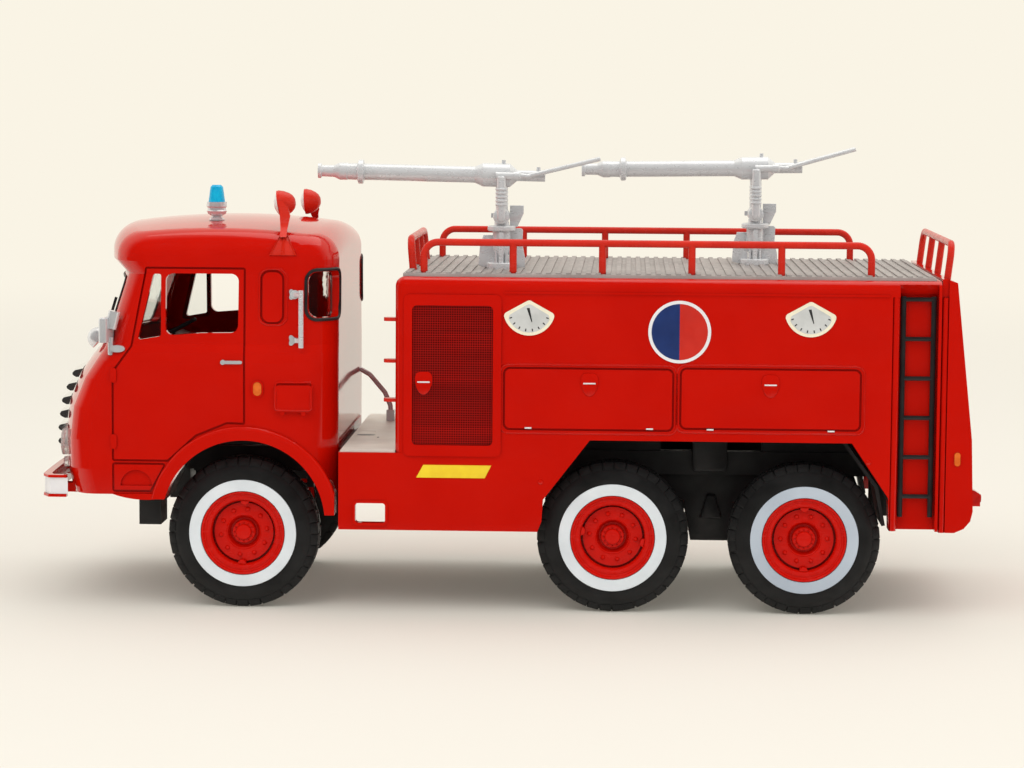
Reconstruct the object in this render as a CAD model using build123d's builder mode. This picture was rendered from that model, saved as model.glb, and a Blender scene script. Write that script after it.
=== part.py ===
from build123d import *
from math import asin, degrees
import os

os.makedirs("parts", exist_ok=True)

# Scale model of a six-wheeled airport fire truck, in millimetres.
# -X is the front, -Y the left side, Z = 0 the ground under the tyres.

# --- driving dimensions -------------------------------------------------
cast_wall = 1.6             # diecast wall of the body
cab_wall = 1.2              # diecast wall of the cab
seat_gap = 0.04             # glue gap between curved pieces that seat on each other
run_gap = 0.08              # radial running gap of an axle in its block
reach = 100.0               # length of a cutter that goes right through

# wheels
wheel_stations = {"front": -46.1, "middle": 17.4, "rear": 50.1}
tyre_radius = 13.0
tyre_width = 7.2
tyre_bead = 7.6             # radius where the tyre sits on its rim
tyre_inset = 2.1            # outer face of the tyre, in from the body's side
lug_count = 24
lug_depth = 0.8
lug_share = 0.6             # share of the pitch that each lug takes
shoulder_radius = 10.8      # where the flat sidewall ends
shoulder_width = 1.2
whitewall_outer = 9.3
whitewall_inner = 7.6
whitewall_thick = 0.4
rim_lip = 7.5
rim_well = 6.6
rim_dish = 5.3
hub_recess = 2.7
hub_cap = 1.35
axle_radius = 1.0

# cab
cab_rear = -30.1
cab_bottom = 19.7
roof_lip = 59.6
roof_top = 66.7             # highest point of the roof's crown
roof_round = 4.4
crown_across = 190.0        # radius of the crown from side to side
crown_along = 125.0         # radius of the crown from front to rear
crown_x = -50.5
rear_corner = 7.0
cab_inset = 0.6             # widest part of the cab, in from the body's side
arch_x = -45.7
arch_z = 15.3
arch_radius = 14.0
flare_radius = 16.4
flare_out = 0.2             # the flares stand this far past the body's side
flare_depth = 4.0
flare_front_low = 19.0
flare_rear_low = 16.6

# body
body_half = 29.0
body_front = -19.8
body_top = 57.5
skirt_bottom = 14.2
body_bottom = 15.1
step_front = -29.4
step_top = 27.5
arch_front = 4.6
arch_top = 30.0
arch_rear = 64.2
body_rear = 72.4
recess_front = 65.4
recess_back = 71.9
recess_depth = 2.6
recess_slope = 2.5          # the recess ends in a slope at its top
roof_edge = 1.6
front_corner = 1.5
line_width = 0.35           # lines pressed round doors and lids
line_depth = 0.35

# rear panel
panel_inset = 0.2           # the panel's side, in from the body's side
panel_gap = 0.1
panel_low = 14.9
panel_high = 57.9

# deck and rails
deck_inset = 1.8            # the deck's side, in from the body's side
deck_thick = 0.5
deck_front = -18.6
deck_rear = 71.6
rib_pitch = 1.7
rib_width = 0.8
rib_height = 0.25
rail_inset = 4.4            # middle of each handrail, in from the body's side
rail_radius = 0.62
rail_top = 63.2
rail_front = -15.2
rail_pitch = 15.2
rail_posts = 6
rail_bend = 2.4

# cannons: name, stand x, stand y, height of the barrel's axis, barrel's shift in x, tilt in degrees
cannon_table = (
    ("front_cannon", -2.6, -11.0, 74.3, -0.95, -1.0),
    ("rear_cannon", 42.4, 8.0, 75.4, -0.2, 0.8),
)
housing_radius = 2.05
barrel_radius = 1.43

# chassis
frame_half = 12.5           # middle of each frame rail
frame_width = 2.4
frame_low = 22.4
frame_high = 26.5
frame_front = -72.0
frame_rear = 70.6
frame_clear = 0.3           # room round the rails where they pass a wall
frame_clear_half = frame_half + frame_width / 2 + frame_clear
mount_radius = 1.25
mount_depth = 5.0
mount_stations = (-8.0, 66.0)

# sizes that follow from the ones above
cab_half = body_half - cab_inset
flare_half = body_half + flare_out
panel_half = body_half - panel_inset
deck_half = body_half - deck_inset
rail_y = body_half - rail_inset
tyre_face_y = body_half - tyre_inset


def write(piece, label):
    piece.label = label
    export_step(piece, f"parts/{label}.step")
    print(f"{label}: {len(piece.solids())} solids, {piece.volume:.1f} mm3")


def tube_along(points, radius, bend):
    """A round bar through points, with bends of one radius."""
    with BuildPart() as bar:
        with BuildLine() as path:
            FilletPolyline(*points, radius=bend)
        with BuildSketch(Plane(origin=path.line @ 0, z_dir=path.line % 0)):
            Circle(radius)
        sweep()
    return bar.part


# --- cab ----------------------------------------------------------------
# Plan sections of the cab: height, side set in from cab_half, front at the middle and at the side,
# radius of the front corners.
cab_sections = (
    (cab_bottom, 0.2, -79.0, -74.0, 4.2),
    (24.0, 0.0, -79.9, -74.9, 4.2),
    (29.0, 0.0, -80.0, -75.0, 4.2),
    (34.5, 0.0, -79.3, -74.4, 4.2),
    (39.5, 0.0, -77.2, -72.4, 4.2),
    (42.5, 0.0, -75.1, -70.4, 4.4),
    (44.2, 0.15, -73.7, -69.3, 4.6),
    (45.6, 0.5, -72.9, -68.6, 4.8),
    (57.4, 1.2, -69.3, -64.9, 5.5),
    (roof_lip, 1.2, -71.6, -66.6, 6.5),
)
vent_glass = ((-63.9, 46.2), (-61.2, 57.5), (-59.9, 57.5), (-59.9, 46.9))
main_glass = ((-59.1, 47.0), (-59.1, 57.6), (-46.6, 57.6), (-46.7, 47.6), (-53.0, 47.5))
vent_round = 0.4
main_round = 1.3
door_round = 0.5
door_edge = ((-68.3, 25.4), (-68.3, 40.8), (-65.1, 45.2), (-62.6, 58.7), (-45.4, 58.7), (-45.4, 31.9),
             (-48.5, 32.0), (-53.8, 29.8), (-58.6, 25.4))
sill_edge = ((-68.3, 20.1), (-68.3, 25.2), (-58.8, 25.2), (-61.6, 20.1))
screen_half = 22.5
screen_low = 45.9
screen_high = 56.5
screen_post = 1.0
screen_round = 1.2
quarter_front = -34.8
quarter_y = 20.8
quarter_low = 50.2
quarter_high = 58.0
quarter_round = 1.7
pressed_panel = (4.1, 9.2)  # pressed line beside the quarter window
pressed_round = 1.6
raise_high = 0.3            # height of the hinges on the cab's sides
locker_size = (6.2, 4.6)
locker_high = 0.7
catch_radius = 0.4
foot_radius = 2.7


def cab_plan(height, inset, nose, side, corner, wall=0.0):
    """One plan section of the cab, set in by wall."""
    width = cab_half - inset - wall
    back = cab_rear - wall
    with BuildSketch(Plane.XY.offset(height)) as plan:
        with BuildLine():
            ThreePointArc((side + wall, -width), (nose + wall, 0), (side + wall, width))
            Polyline((side + wall, width), (back, width), (back, -width), (side + wall, -width))
        make_face()
        fillet(plan.vertices().sort_by(Axis.X)[:2], corner - wall)
        fillet(plan.vertices().sort_by(Axis.X)[-2:], rear_corner - wall)
    return plan.sketch


def cab_block(wall, sections=cab_sections):
    """The cab's outer form, or its hollow when wall is its thickness."""
    with BuildPart() as block:
        for low, high in zip(sections, sections[1:]):
            loft([cab_plan(*low, wall), cab_plan(*high, wall)], ruled=True)
    top = roof_top - wall
    crown_ends = [(crown_x + step, top - step ** 2 / (2 * crown_along)) for step in (-30, 30)]
    ridge = Axis((0, 0, top - crown_across), (1, 0, 0))
    with BuildPart() as crown:
        with BuildSketch(Plane.XZ):
            with BuildLine():
                ThreePointArc(crown_ends[0], (crown_x, top), crown_ends[1])
                Polyline(crown_ends[1], (crown_ends[1][0], 40), (crown_ends[0][0], 40), crown_ends[0])
            make_face()
        revolve(axis=ridge, revolution_arc=24)
    with BuildPart() as roof:
        add(cab_plan(*sections[-1], wall))
        extrude(amount=roof_top - wall - roof_lip + 1)
        add(crown.part.rotate(ridge, -12), mode=Mode.INTERSECT)
        fillet(roof.faces().sort_by(Axis.Z)[-1].edges(), roof_round - wall)
    return block.part + roof.part


def side_cutter(outline, radius):
    """A bar with this side view that reaches through the cab from side to side."""
    with BuildPart() as cutter:
        with BuildSketch(Plane.XZ.offset(-reach / 2)) as view:
            with BuildLine():
                Polyline(*outline, close=True)
            make_face()
            fillet(view.vertices(), radius)
        extrude(amount=reach)
    return cutter.part


def line_cutter(outline, radius):
    """As side_cutter, but only a thin line along the outline."""
    with BuildPart() as cutter:
        with BuildSketch(Plane.XZ.offset(-reach / 2)) as view:
            with BuildLine():
                Polyline(*outline, close=True)
            make_face()
            fillet(view.vertices(), radius)
            inside = offset(view.sketch, amount=-line_width, mode=Mode.PRIVATE)
            add(inside, mode=Mode.SUBTRACT)
        extrude(amount=reach)
    return cutter.part


with BuildPart() as arch_cut:
    with BuildSketch(Plane.XZ.offset(-reach / 2)):
        with Locations((arch_x, arch_z)):
            Circle(arch_radius)
    extrude(amount=reach)

cab_form = cab_block(0.0)
cab_hollow = cab_block(cab_wall)
press_skin = cab_form - cab_block(line_depth)
raise_skin = cab_block(-raise_high) - cab_block(line_depth)

with BuildPart() as pressed_line:
    with BuildSketch(Plane.XZ.offset(-reach / 2)):
        with Locations((-40.85, 53.7)):
            RectangleRounded(*pressed_panel, pressed_round)
            RectangleRounded(*(size - 2 * line_width for size in pressed_panel), pressed_round - line_width,
                             mode=Mode.SUBTRACT)
    extrude(amount=reach)

with BuildPart() as door_hinges:
    with BuildSketch(Plane.XZ.offset(-reach / 2)):
        with Locations((-68.0, 40.2), (-68.0, 28.8)):
            SlotOverall(2.6, 1.1, rotation=90)
    extrude(amount=reach)


def quarter_zone(lap):
    """Windows that wrap round the cab's rear corners, grown by lap."""
    high = quarter_high - quarter_low + 2 * lap
    middle = (quarter_low + quarter_high) / 2
    with BuildPart() as zone:
        with BuildSketch(Plane.XZ.offset(-reach / 2)):
            with Locations((quarter_front - lap, middle)):
                RectangleRounded(reach, high, quarter_round, align=(Align.MIN, Align.CENTER))
        extrude(amount=reach)
        with BuildSketch(Plane.YZ.offset(-reach)):
            with Locations((quarter_y - lap, middle)):
                RectangleRounded(reach, high, quarter_round, align=(Align.MIN, Align.CENTER))
            with Locations((lap - quarter_y, middle)):
                RectangleRounded(reach, high, quarter_round, align=(Align.MAX, Align.CENTER))
        extrude(amount=2 * reach, mode=Mode.INTERSECT)
    return zone.part

# flare over the left front wheel, with a leg down behind the wheel
with BuildPart() as flare:
    with BuildSketch(Plane.XZ.offset(flare_half - flare_depth)):
        with Locations((arch_x, arch_z)):
            Circle(flare_radius)
        with Locations((arch_x - flare_radius, flare_front_low)):
            Rectangle(cab_rear - arch_x + flare_radius, flare_radius, mode=Mode.INTERSECT,
                      align=(Align.MIN, Align.MIN))
        with Locations((cab_rear, flare_rear_low)):
            Rectangle(4.0, cab_bottom - flare_rear_low, align=(Align.MAX, Align.MIN))
    extrude(amount=flare_depth)
    fillet(flare.faces().sort_by(Axis.Y)[0].edges().sort_by(Axis.Z)[-1], 0.8)

with BuildPart() as cab_shell:
    add(cab_form)
    add(cab_hollow, mode=Mode.SUBTRACT)
    for edge in (door_edge, sill_edge):
        add(press_skin & line_cutter(edge, door_round), mode=Mode.SUBTRACT)
    add(press_skin & pressed_line.part, mode=Mode.SUBTRACT)
    add(raise_skin & door_hinges.part)
    # windscreen, two panes
    with BuildSketch(Plane.YZ.offset(-80)):
        for side in (-1, 1):
            middle = side * (screen_half + screen_post) / 2
            with Locations((middle, (screen_low + screen_high) / 2)):
                RectangleRounded(screen_half - screen_post, screen_high - screen_low, screen_round)
    extrude(amount=80 - 62, mode=Mode.SUBTRACT)
    for side in (-1, 1):
        add(flare.part if side < 0 else mirror(flare.part, Plane.XZ))
        # lip under the step in front of the wheel
        with BuildSketch(Plane.XZ.offset(-side * (flare_half - 0.3))):
            with BuildLine():
                ThreePointArc((-68.2, 19.8), (-64.0, 18.9), (-59.0, 19.2))
                Polyline((-59.0, 19.2), (-59.0, 19.9), (-68.2, 19.8))
            make_face()
        extrude(amount=side * (flare_depth - 0.6))
        # foot recess over the lip
        with BuildSketch(Plane.XZ.offset(-side * (cab_half + 0.5))):
            with Locations((-64.2, 21.2)):
                Circle(foot_radius)
                Rectangle(2 * foot_radius, foot_radius, align=(Align.CENTER, Align.MIN), mode=Mode.INTERSECT)
        extrude(amount=side * 1.0, mode=Mode.SUBTRACT)
        # locker with its two catches
        with BuildSketch(Plane.XZ.offset(-side * (cab_half + locker_high))):
            with Locations((-37.1, 36.5)):
                RectangleRounded(*locker_size, 0.6)
            with Locations((-39.0, 34.0), (-35.4, 34.0)):
                Circle(catch_radius)
        extrude(amount=side * 2 * locker_high)
    add(arch_cut.part, mode=Mode.SUBTRACT)
    # notch in the rear wall for the frame rails
    with Locations((cab_rear, 0, 0)):
        Box(4 * cab_wall, 2 * frame_clear_half, frame_high + frame_clear,
            align=(Align.CENTER, Align.CENTER, Align.MIN), mode=Mode.SUBTRACT)
# side and quarter windows, cut out one by one
cab_cut = cab_shell.part
for pane, corner_round in ((main_glass, main_round), (vent_glass, vent_round)):
    cab_cut = cab_cut - side_cutter(pane, corner_round)
cab_cut = cab_cut - quarter_zone(0.0)
write(cab_cut, "cab_shell")

# --- glass --------------------------------------------------------------
# Each pane lies just inside the wall and laps its opening by glass_lap.
glass_thick = 0.6
glass_lap = 0.6
seat_form = cab_block(cab_wall + seat_gap)
with BuildPart() as glass_skin:
    add(seat_form)
    add(cab_block(cab_wall + seat_gap + glass_thick), mode=Mode.SUBTRACT)

with BuildPart() as windscreen:
    add(glass_skin.part)
    with BuildSketch(Plane.YZ.offset(-80)):
        for side in (-1, 1):
            middle = side * (screen_half + screen_post) / 2
            with Locations((middle, (screen_low + screen_high) / 2)):
                RectangleRounded(screen_half - screen_post + glass_lap,
                                 screen_high - screen_low + 2 * glass_lap, screen_round)
    extrude(amount=80 - 60, mode=Mode.INTERSECT)
write(windscreen.part, "windscreen")

with BuildPart() as vent_region:
    with BuildSketch(Plane.XZ.offset(-reach / 2)):
        with BuildLine():
            Polyline(*vent_glass, close=True)
        make_face()
        offset(amount=glass_lap)
    extrude(amount=reach)
with BuildPart() as side_windows:
    add(quarter_zone(glass_lap))
    add(vent_region.part)
    add(glass_skin.part, mode=Mode.INTERSECT)
write(side_windows.part, "side_windows")

# --- cab interior ---------------------------------------------------------
floor_top = 31.0
floor_thick = 1.0
floor_front = -68.0
floor_rear = -31.6
dash_side = 24.0
inside_half = flare_half - flare_depth - 0.2
# middle of each seat in y, its width
seat_table = ((-14.5, 15.0), (7.5, 24.0))
with BuildPart() as cab_interior:
    with Locations((floor_front, 0, floor_top - floor_thick)):
        Box(floor_rear - floor_front, 2 * inside_half, floor_thick,
            align=(Align.MIN, Align.CENTER, Align.MIN))
    # dash across the front
    with BuildSketch(Plane.XZ.offset(-dash_side)):
        with BuildLine():
            Polyline((floor_front, floor_top), (floor_front, 42.5), (-64.0, 44.0), (-61.5, 43.0),
                     (-62.5, 40.0), (-64.5, 38.5), (-64.5, floor_top), close=True)
        make_face()
    extrude(amount=2 * dash_side)
    # seats with backs
    for seat_y, seat_width in seat_table:
        with BuildSketch(Plane.XZ.offset(-(seat_y + seat_width / 2))) as seat_view:
            with BuildLine():
                Polyline((-53.0, floor_top), (-54.0, 37.5), (-44.0, 36.5), (-41.5, 48.5),
                         (-39.0, 48.5), (-40.0, floor_top), close=True)
            make_face()
            fillet(seat_view.vertices().group_by(Axis.Y)[-1], 1.0)
        extrude(amount=seat_width)
    # engine cover behind the seats
    with Locations((-38.5, 0, floor_top)):
        Box(6.5, 30.0, 13.0, align=(Align.MIN, Align.CENTER, Align.MIN))
    add(seat_form, mode=Mode.INTERSECT)
write(cab_interior.part, "cab_interior")

wheel_centre = (-60.2, -14.5, 46.6)
wheel_rake = 28.0           # the steering wheel leans back from level by this angle
steering_radius = 4.6
steering_bar = 0.38
with BuildPart() as steering_wheel:
    with BuildSketch(Plane.XZ):
        with Locations((steering_radius, 0)):
            RegularPolygon(steering_bar, 6)
    revolve(axis=Axis.Z)
    for angle in (90, 210, 330):
        with Locations(Location((0, 0, 0), (0, 0, angle))):
            Box(steering_radius, 0.7, 0.45, align=(Align.MIN, Align.CENTER, Align.CENTER))
    Cylinder(0.9, 0.9)
    with Locations((0, 0, -2.2)):
        Cylinder(0.5, 4.4)
tilt_wheel = Location(wheel_centre, (0, -wheel_rake, 0))
write(steering_wheel.part.moved(tilt_wheel), "steering_wheel")

# --- nose -----------------------------------------------------------------
bar_count = 6
bar_top = 39.1
bar_pitch = 2.42
bar_high = 1.5
bar_deep = 1.5
bar_half = 13.5
bar_gap = 0.12              # the bars stand this far off the nose
# outline of a bar: share of its depth, share of its height
bar_outline = ((0.0, -0.5), (0.35, -0.5), (0.85, -0.25), (1.0, 0.0), (0.85, 0.3), (0.0, 0.5))


def nose_plan(height):
    """Front at the middle, front at the side and half width of the cab at one height."""
    low = max(s for s in cab_sections if s[0] <= height)
    high = min(s for s in cab_sections if s[0] > height)
    share = (height - low[0]) / (high[0] - low[0])
    inset, nose, side = [low[n] + share * (high[n] - low[n]) for n in (1, 2, 3)]
    return nose, side, cab_half - inset


def nose_arc(height):
    """Radius of the nose's arc at one height, and the height's foremost x."""
    nose, side, half = nose_plan(height)
    return (half ** 2 + (side - nose) ** 2) / (2 * (side - nose)), nose


def grille_bar(height):
    """One bar of the grille: its back leans and curves with the nose."""
    radius, _ = nose_arc(height)
    low_front = nose_arc(height - bar_high / 2)[1]
    high_front = nose_arc(height + bar_high / 2)[1]
    lean = high_front - low_front
    back = (low_front + high_front) / 2 - bar_gap
    spin = Axis((back + bar_gap + radius, 0, 0), (0, 0, 1))
    half_angle = degrees(asin(bar_half / radius))
    outline = [(back - deep * bar_deep + lean * tall, height + tall * bar_high)
               for deep, tall in bar_outline]
    with BuildPart() as bar:
        with BuildSketch(Plane.XZ):
            with BuildLine():
                Polyline(*outline, close=True)
            make_face()
        revolve(axis=spin, revolution_arc=2 * half_angle)
    return bar.part.rotate(spin, -half_angle)


grille_bars = [grille_bar(bar_top - n * bar_pitch) for n in range(bar_count)]
with BuildPart() as front_grille:
    add(grille_bars)
write(front_grille.part, "front_grille")

# middle height, radius and front face of the lamps at each side of the nose
lamp_y = 19.0
lamp_table = ((27.6, 2.3, -78.5), (24.1, 0.9, -78.3))
stand_off = cab_block(-seat_gap)
with BuildPart() as headlamps:
    for lamp_z, lamp_radius, lamp_front in lamp_table:
        with BuildSketch(Plane.YZ.offset(lamp_front)):
            with Locations((-lamp_y, lamp_z), (lamp_y, lamp_z)):
                Circle(lamp_radius)
        extrude(amount=3.5)
    add(stand_off, mode=Mode.SUBTRACT)
write(headlamps.part, "headlamps")

bumper_low = 19.0
bumper_high = 22.8
bumper_thick = 1.3
bumper_side = -80.7
bumper_nose = -81.4
bumper_half = body_half - 1.4
bumper_end_x = -76.4
bumper_lip = 0.45           # height of the lips above and below the recessed face
bumper_recess = 0.25
corner_y = bumper_half - 2.1


def bumper_plan(inset):
    """Plan of the bumper, its outer face set in by inset."""
    side = bumper_side + inset
    nose = bumper_nose + inset
    back = bumper_side + bumper_thick
    half = bumper_half - inset
    inner = bumper_half - bumper_thick
    with BuildSketch(Plane.XY.offset(bumper_low)) as plan:
        with BuildLine():
            ThreePointArc((side, -corner_y), (nose, 0), (side, corner_y))
            Polyline((side, corner_y), (side + 1.2, half), (bumper_end_x, half), (bumper_end_x, inner),
                     (back + 0.6, inner), (back, corner_y - 0.9))
            ThreePointArc((back, corner_y - 0.9), (bumper_nose + bumper_thick, 0), (back, 0.9 - corner_y))
            Polyline((back, 0.9 - corner_y), (back + 0.6, -inner), (bumper_end_x, -inner),
                     (bumper_end_x, -half), (side + 1.2, -half), (side, -corner_y))
        make_face()
    return plan.sketch


full_plan = bumper_plan(0.0)
recessed_plan = bumper_plan(bumper_recess)
with BuildPart() as front_bumper:
    extrude(full_plan, amount=bumper_lip)
    extrude(recessed_plan, amount=bumper_high - bumper_low)
    extrude(full_plan.moved(Location((0, 0, bumper_high - bumper_low - bumper_lip))), amount=bumper_lip)
    # two arms back to the frame
    for side in (-1, 1):
        with Locations((bumper_side + 0.4, side * frame_half, bumper_low - 1.0)):
            Box(frame_front - bumper_side - 0.4, frame_width, cab_bottom - 0.1 - bumper_low + 1.0,
                align=(Align.MIN, Align.CENTER, Align.MIN))
write(front_bumper.part, "front_bumper")

# --- cab fittings -----------------------------------------------------------
mirror_y = 27.6
mirror_top = 50.1
mirror_low = 45.8
with BuildPart() as one_mirror:
    # head
    with BuildSketch(Plane.XY.offset(mirror_low)):
        with Locations((-69.3, -mirror_y)):
            SlotOverall(4.4, 1.5, rotation=78)
    extrude(amount=mirror_top - mirror_low)
    fillet(one_mirror.faces().sort_by(Axis.Z)[-1].edges(), 0.5)
    # knuckle behind the head
    with Locations((-68.2, -mirror_y, 49.6)):
        Cylinder(1.0, 3.0, rotation=(0, 14, 0))
    # post and its foot on the cab
    with Locations((-68.6, -mirror_y, 43.6)):
        Cylinder(0.45, 3.0, align=(Align.CENTER, Align.CENTER, Align.MIN))
    with BuildSketch(Plane.XZ.offset(cab_half - 1.2)):
        with Locations((-67.3, 44.7)):
            Ellipse(1.3, 0.6)
    extrude(amount=1.4)
    add(stand_off, mode=Mode.SUBTRACT)
with BuildPart() as mirrors:
    add(one_mirror.part)
    mirror(one_mirror.part, Plane.XZ)
write(mirrors.part, "mirrors")

# domed lamps on the cowl under the windscreen
dome_y = 16.0
dome_radius = 1.9
dome_place = Location((-72.8, -dome_y, 45.5), (0, -48, 0))
with BuildPart() as one_dome:
    with BuildSketch(Plane.XZ):
        with BuildLine():
            CenterArc((0, 0), dome_radius, 0, 90)
            Polyline((0, dome_radius), (0, -0.5), (dome_radius, -0.5), (dome_radius, 0))
        make_face()
    revolve(axis=Axis.Z)
dome_left = one_dome.part.moved(dome_place)
with BuildPart() as nose_lamp:
    add(dome_left)
    mirror(dome_left, Plane.XZ)
    add(stand_off, mode=Mode.SUBTRACT)
write(nose_lamp.part, "nose_lamp")

# wipers that stand off the screen
wiper_foot = (-73.5, 9.0, 45.3)
wiper_tip = (-72.3, 5.0, 49.4)
blade_half = 2.6
wiper_bar = 0.22
with BuildPart() as one_wiper:
    with BuildLine() as arm_way:
        Line(wiper_foot, wiper_tip)
    with BuildSketch(Plane(origin=arm_way.line @ 0, z_dir=arm_way.line % 0)):
        Rectangle(2 * wiper_bar, 2 * wiper_bar)
    sweep()
    with Locations(Location(wiper_tip, (0, 17, 0))):
        Box(2 * wiper_bar, 2 * wiper_bar, 2 * blade_half)
    with Locations(wiper_foot):
        Cylinder(0.5, 1.2, rotation=(0, -60, 0))
    add(stand_off, mode=Mode.SUBTRACT)
with BuildPart() as wipers:
    add(one_wiper.part)
    mirror(one_wiper.part, Plane.XZ)
write(wipers.part, "wipers")

# chrome grab handles behind the doors: forward flanges, bar set back from them
grab_x = (-37.0, -35.8)
grab_feet = (46.4, 54.2)
grab_ends = (45.2, 55.0)
grab_out = 1.8
grab_bar = 0.42
grab_wall = cab_half - 1.2
with BuildPart() as one_grab:
    with Locations((grab_x[1], -grab_wall - grab_out, grab_ends[0])):
        Cylinder(grab_bar, grab_ends[1] - grab_ends[0], align=(Align.CENTER, Align.CENTER, Align.MIN))
    for foot in grab_feet:
        with BuildSketch(Plane.XZ.offset(grab_wall - 0.4)):
            with Locations((grab_x[0], foot)):
                Circle(0.75)
        extrude(amount=0.95)
        with Locations(((grab_x[0] + grab_x[1]) / 2, -grab_wall - grab_out / 2 - 0.2, foot)):
            Box(2.3, 0.7, 0.7, rotation=(0, 0, -52))
    add(stand_off, mode=Mode.SUBTRACT)
with BuildPart() as grab_handles:
    add(one_grab.part)
    mirror(one_grab.part, Plane.XZ)
write(grab_handles.part, "grab_handles")

with BuildPart() as one_door_handle:
    with BuildSketch(Plane.XZ.offset(cab_half - 0.3)):
        with Locations((-47.7, 42.6)):
            SlotOverall(3.6, 0.55)
        with Locations((-49.2, 42.6)):
            Circle(0.42)
    extrude(amount=0.75)
    add(stand_off, mode=Mode.SUBTRACT)
with BuildPart() as door_handles:
    add(one_door_handle.part)
    mirror(one_door_handle.part, Plane.XZ)
write(door_handles.part, "door_handles")

# --- roof -----------------------------------------------------------------
beacon_place = Location((-52.2, -14.0, 66.25))
beacon_base_outline = (
    (0, -0.8), (1.35, -0.8), (1.35, 0.1), (0.95, 0.4), (0.95, 0.7), (1.55, 1.0), (1.75, 1.5), (1.6, 1.7),
    (1.6, 2.1), (1.75, 2.3), (1.75, 3.1), (0, 3.1),
)
beacon_lens_outline = ((0, 3.1), (1.45, 3.1), (1.1, 5.7), (0.75, 6.05), (0, 6.05))


def turned(outline):
    """A piece turned about Z: outline holds (radius, height)."""
    with BuildPart() as piece:
        with BuildSketch(Plane.XZ):
            with BuildLine():
                Polyline(*outline, close=True)
            make_face()
        revolve(axis=Axis.Z)
    return piece.part


beacon_base = turned(beacon_base_outline).moved(beacon_place) - stand_off
write(beacon_base, "beacon_base")
write(turned(beacon_lens_outline).moved(beacon_place), "beacon_lens")

# lamps on posts at the roof's shoulders: a ribbed foot on the cab's side, a post and a round head
lamp_front_x = -41.4
lamp_high = 69.4            # middle of the left lamp; the right one is bent down by lamp_droop
lamp_droop = 0.9
lamp_outline = ((0, 1.95), (0.4, 2.1), (0.9, 2.25), (2.3, 2.25), (3.4, 1.9), (4.2, 1.0), (4.4, 0))
foot_outline = ((-41.5, 60.5), (-37.0, 60.5), (-38.8, 64.8), (-39.8, 64.8))
foot_rib = 0.3
foot_thick = 0.7
foot_skin = cab_block(-foot_thick) - stand_off
lamp_post_x = -39.3
post_radius = 0.5


def roof_lamp(high):
    """The left lamp with its middle at one height."""
    with BuildPart() as lamp:
        with BuildSketch(Plane.XZ.offset(20)):
            with BuildLine():
                Polyline(*foot_outline, close=True)
            make_face()
            # grooves between the foot's ribs
            with Locations((-40.0, 61.0), (-38.6, 61.0)):
                Rectangle(foot_rib, 2.6, align=(Align.CENTER, Align.MIN), mode=Mode.SUBTRACT)
        extrude(amount=10)
        add(foot_skin, mode=Mode.INTERSECT)
        with BuildLine() as post_way:
            Line((lamp_post_x, -25.8, 64.2), (lamp_post_x, -22.0, high - 0.9))
        with BuildSketch(Plane(origin=post_way.line @ 0, z_dir=post_way.line % 0)):
            RegularPolygon(post_radius, 12)
        sweep()
        with BuildSketch(Plane.XY):
            with BuildLine():
                Polyline((0, 0), *lamp_outline, close=True)
            make_face()
        head = revolve(axis=Axis.X, mode=Mode.PRIVATE)
        add(head.moved(Location((lamp_front_x, -20.4, high))))
        add(stand_off, mode=Mode.SUBTRACT)
    return lamp.part


with BuildPart() as roof_lamps:
    add(roof_lamp(lamp_high))
    add(mirror(roof_lamp(lamp_high - lamp_droop), Plane.XZ))
write(roof_lamps.part, "roof_lamps")

# --- body -----------------------------------------------------------------
body_side = (
    (step_front, skirt_bottom), (arch_front, skirt_bottom), (5.3, 16.0), (5.5, 19.7),
    (13.4, arch_top), (57.7, arch_top), (64.0, 20.7), (arch_rear, body_bottom),
    (body_rear, body_bottom), (body_rear, body_top), (body_front, body_top),
    (body_front, step_top), (step_front, step_top),
)
inner_half = body_half - cast_wall
recess_wall = body_half - recess_depth
slope_low = body_top - 0.2 - recess_slope
roll_front = 64.2           # rolled edge between the arch and the ladder's recess
roll_radius = 0.6
slot_front = -26.5
slot_rear = -21.4
slot_low = 15.4
slot_high = 18.8
vent_middle = (-10.0, 40.8)
vent_frame = (16.6, 27.6)
vent_hole = (13.7, 23.8)
vent_sunk = 0.3
# pressed lids: middle x, middle z, length, height
lid_table = ((13.1, 37.0, 29.0, 10.8), (43.85, 37.3, 30.7, 10.6))


def recess_zone(wall):
    """The room of the ladders' recesses, its faces moved out by wall."""
    with BuildPart() as zone:
        for side in (-1, 1):
            with BuildSketch(Plane.YZ.offset(recess_front - wall)):
                with BuildLine():
                    Polyline((side * (body_half + 1), 0), (side * (recess_wall - wall), 0),
                             (side * (recess_wall - wall), slope_low + wall / 2),
                             (side * (body_half + 1), slope_low + recess_slope + 1 + wall), close=True)
                make_face()
            extrude(amount=recess_back - recess_front + 2 * wall)
    return zone.part


with BuildPart() as body_hollow:
    with Locations((body_front + cast_wall, 0, 0)):
        Box(body_rear - body_front - 2 * cast_wall, 2 * inner_half, body_top - cast_wall,
            align=(Align.MIN, Align.CENTER, Align.MIN))
    add(recess_zone(cast_wall), mode=Mode.SUBTRACT)
    with Locations((step_front + cast_wall, 0, 0)):
        Box(body_front - step_front + 1, 2 * inner_half, step_top - cast_wall,
            align=(Align.MIN, Align.CENTER, Align.MIN))
    # way for the frame rails through the end walls
    with Locations((step_front - 1, 0, 0)):
        Box(body_rear - step_front + 2, 2 * frame_clear_half, frame_high + frame_clear,
            align=(Align.MIN, Align.CENTER, Align.MIN))

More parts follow.
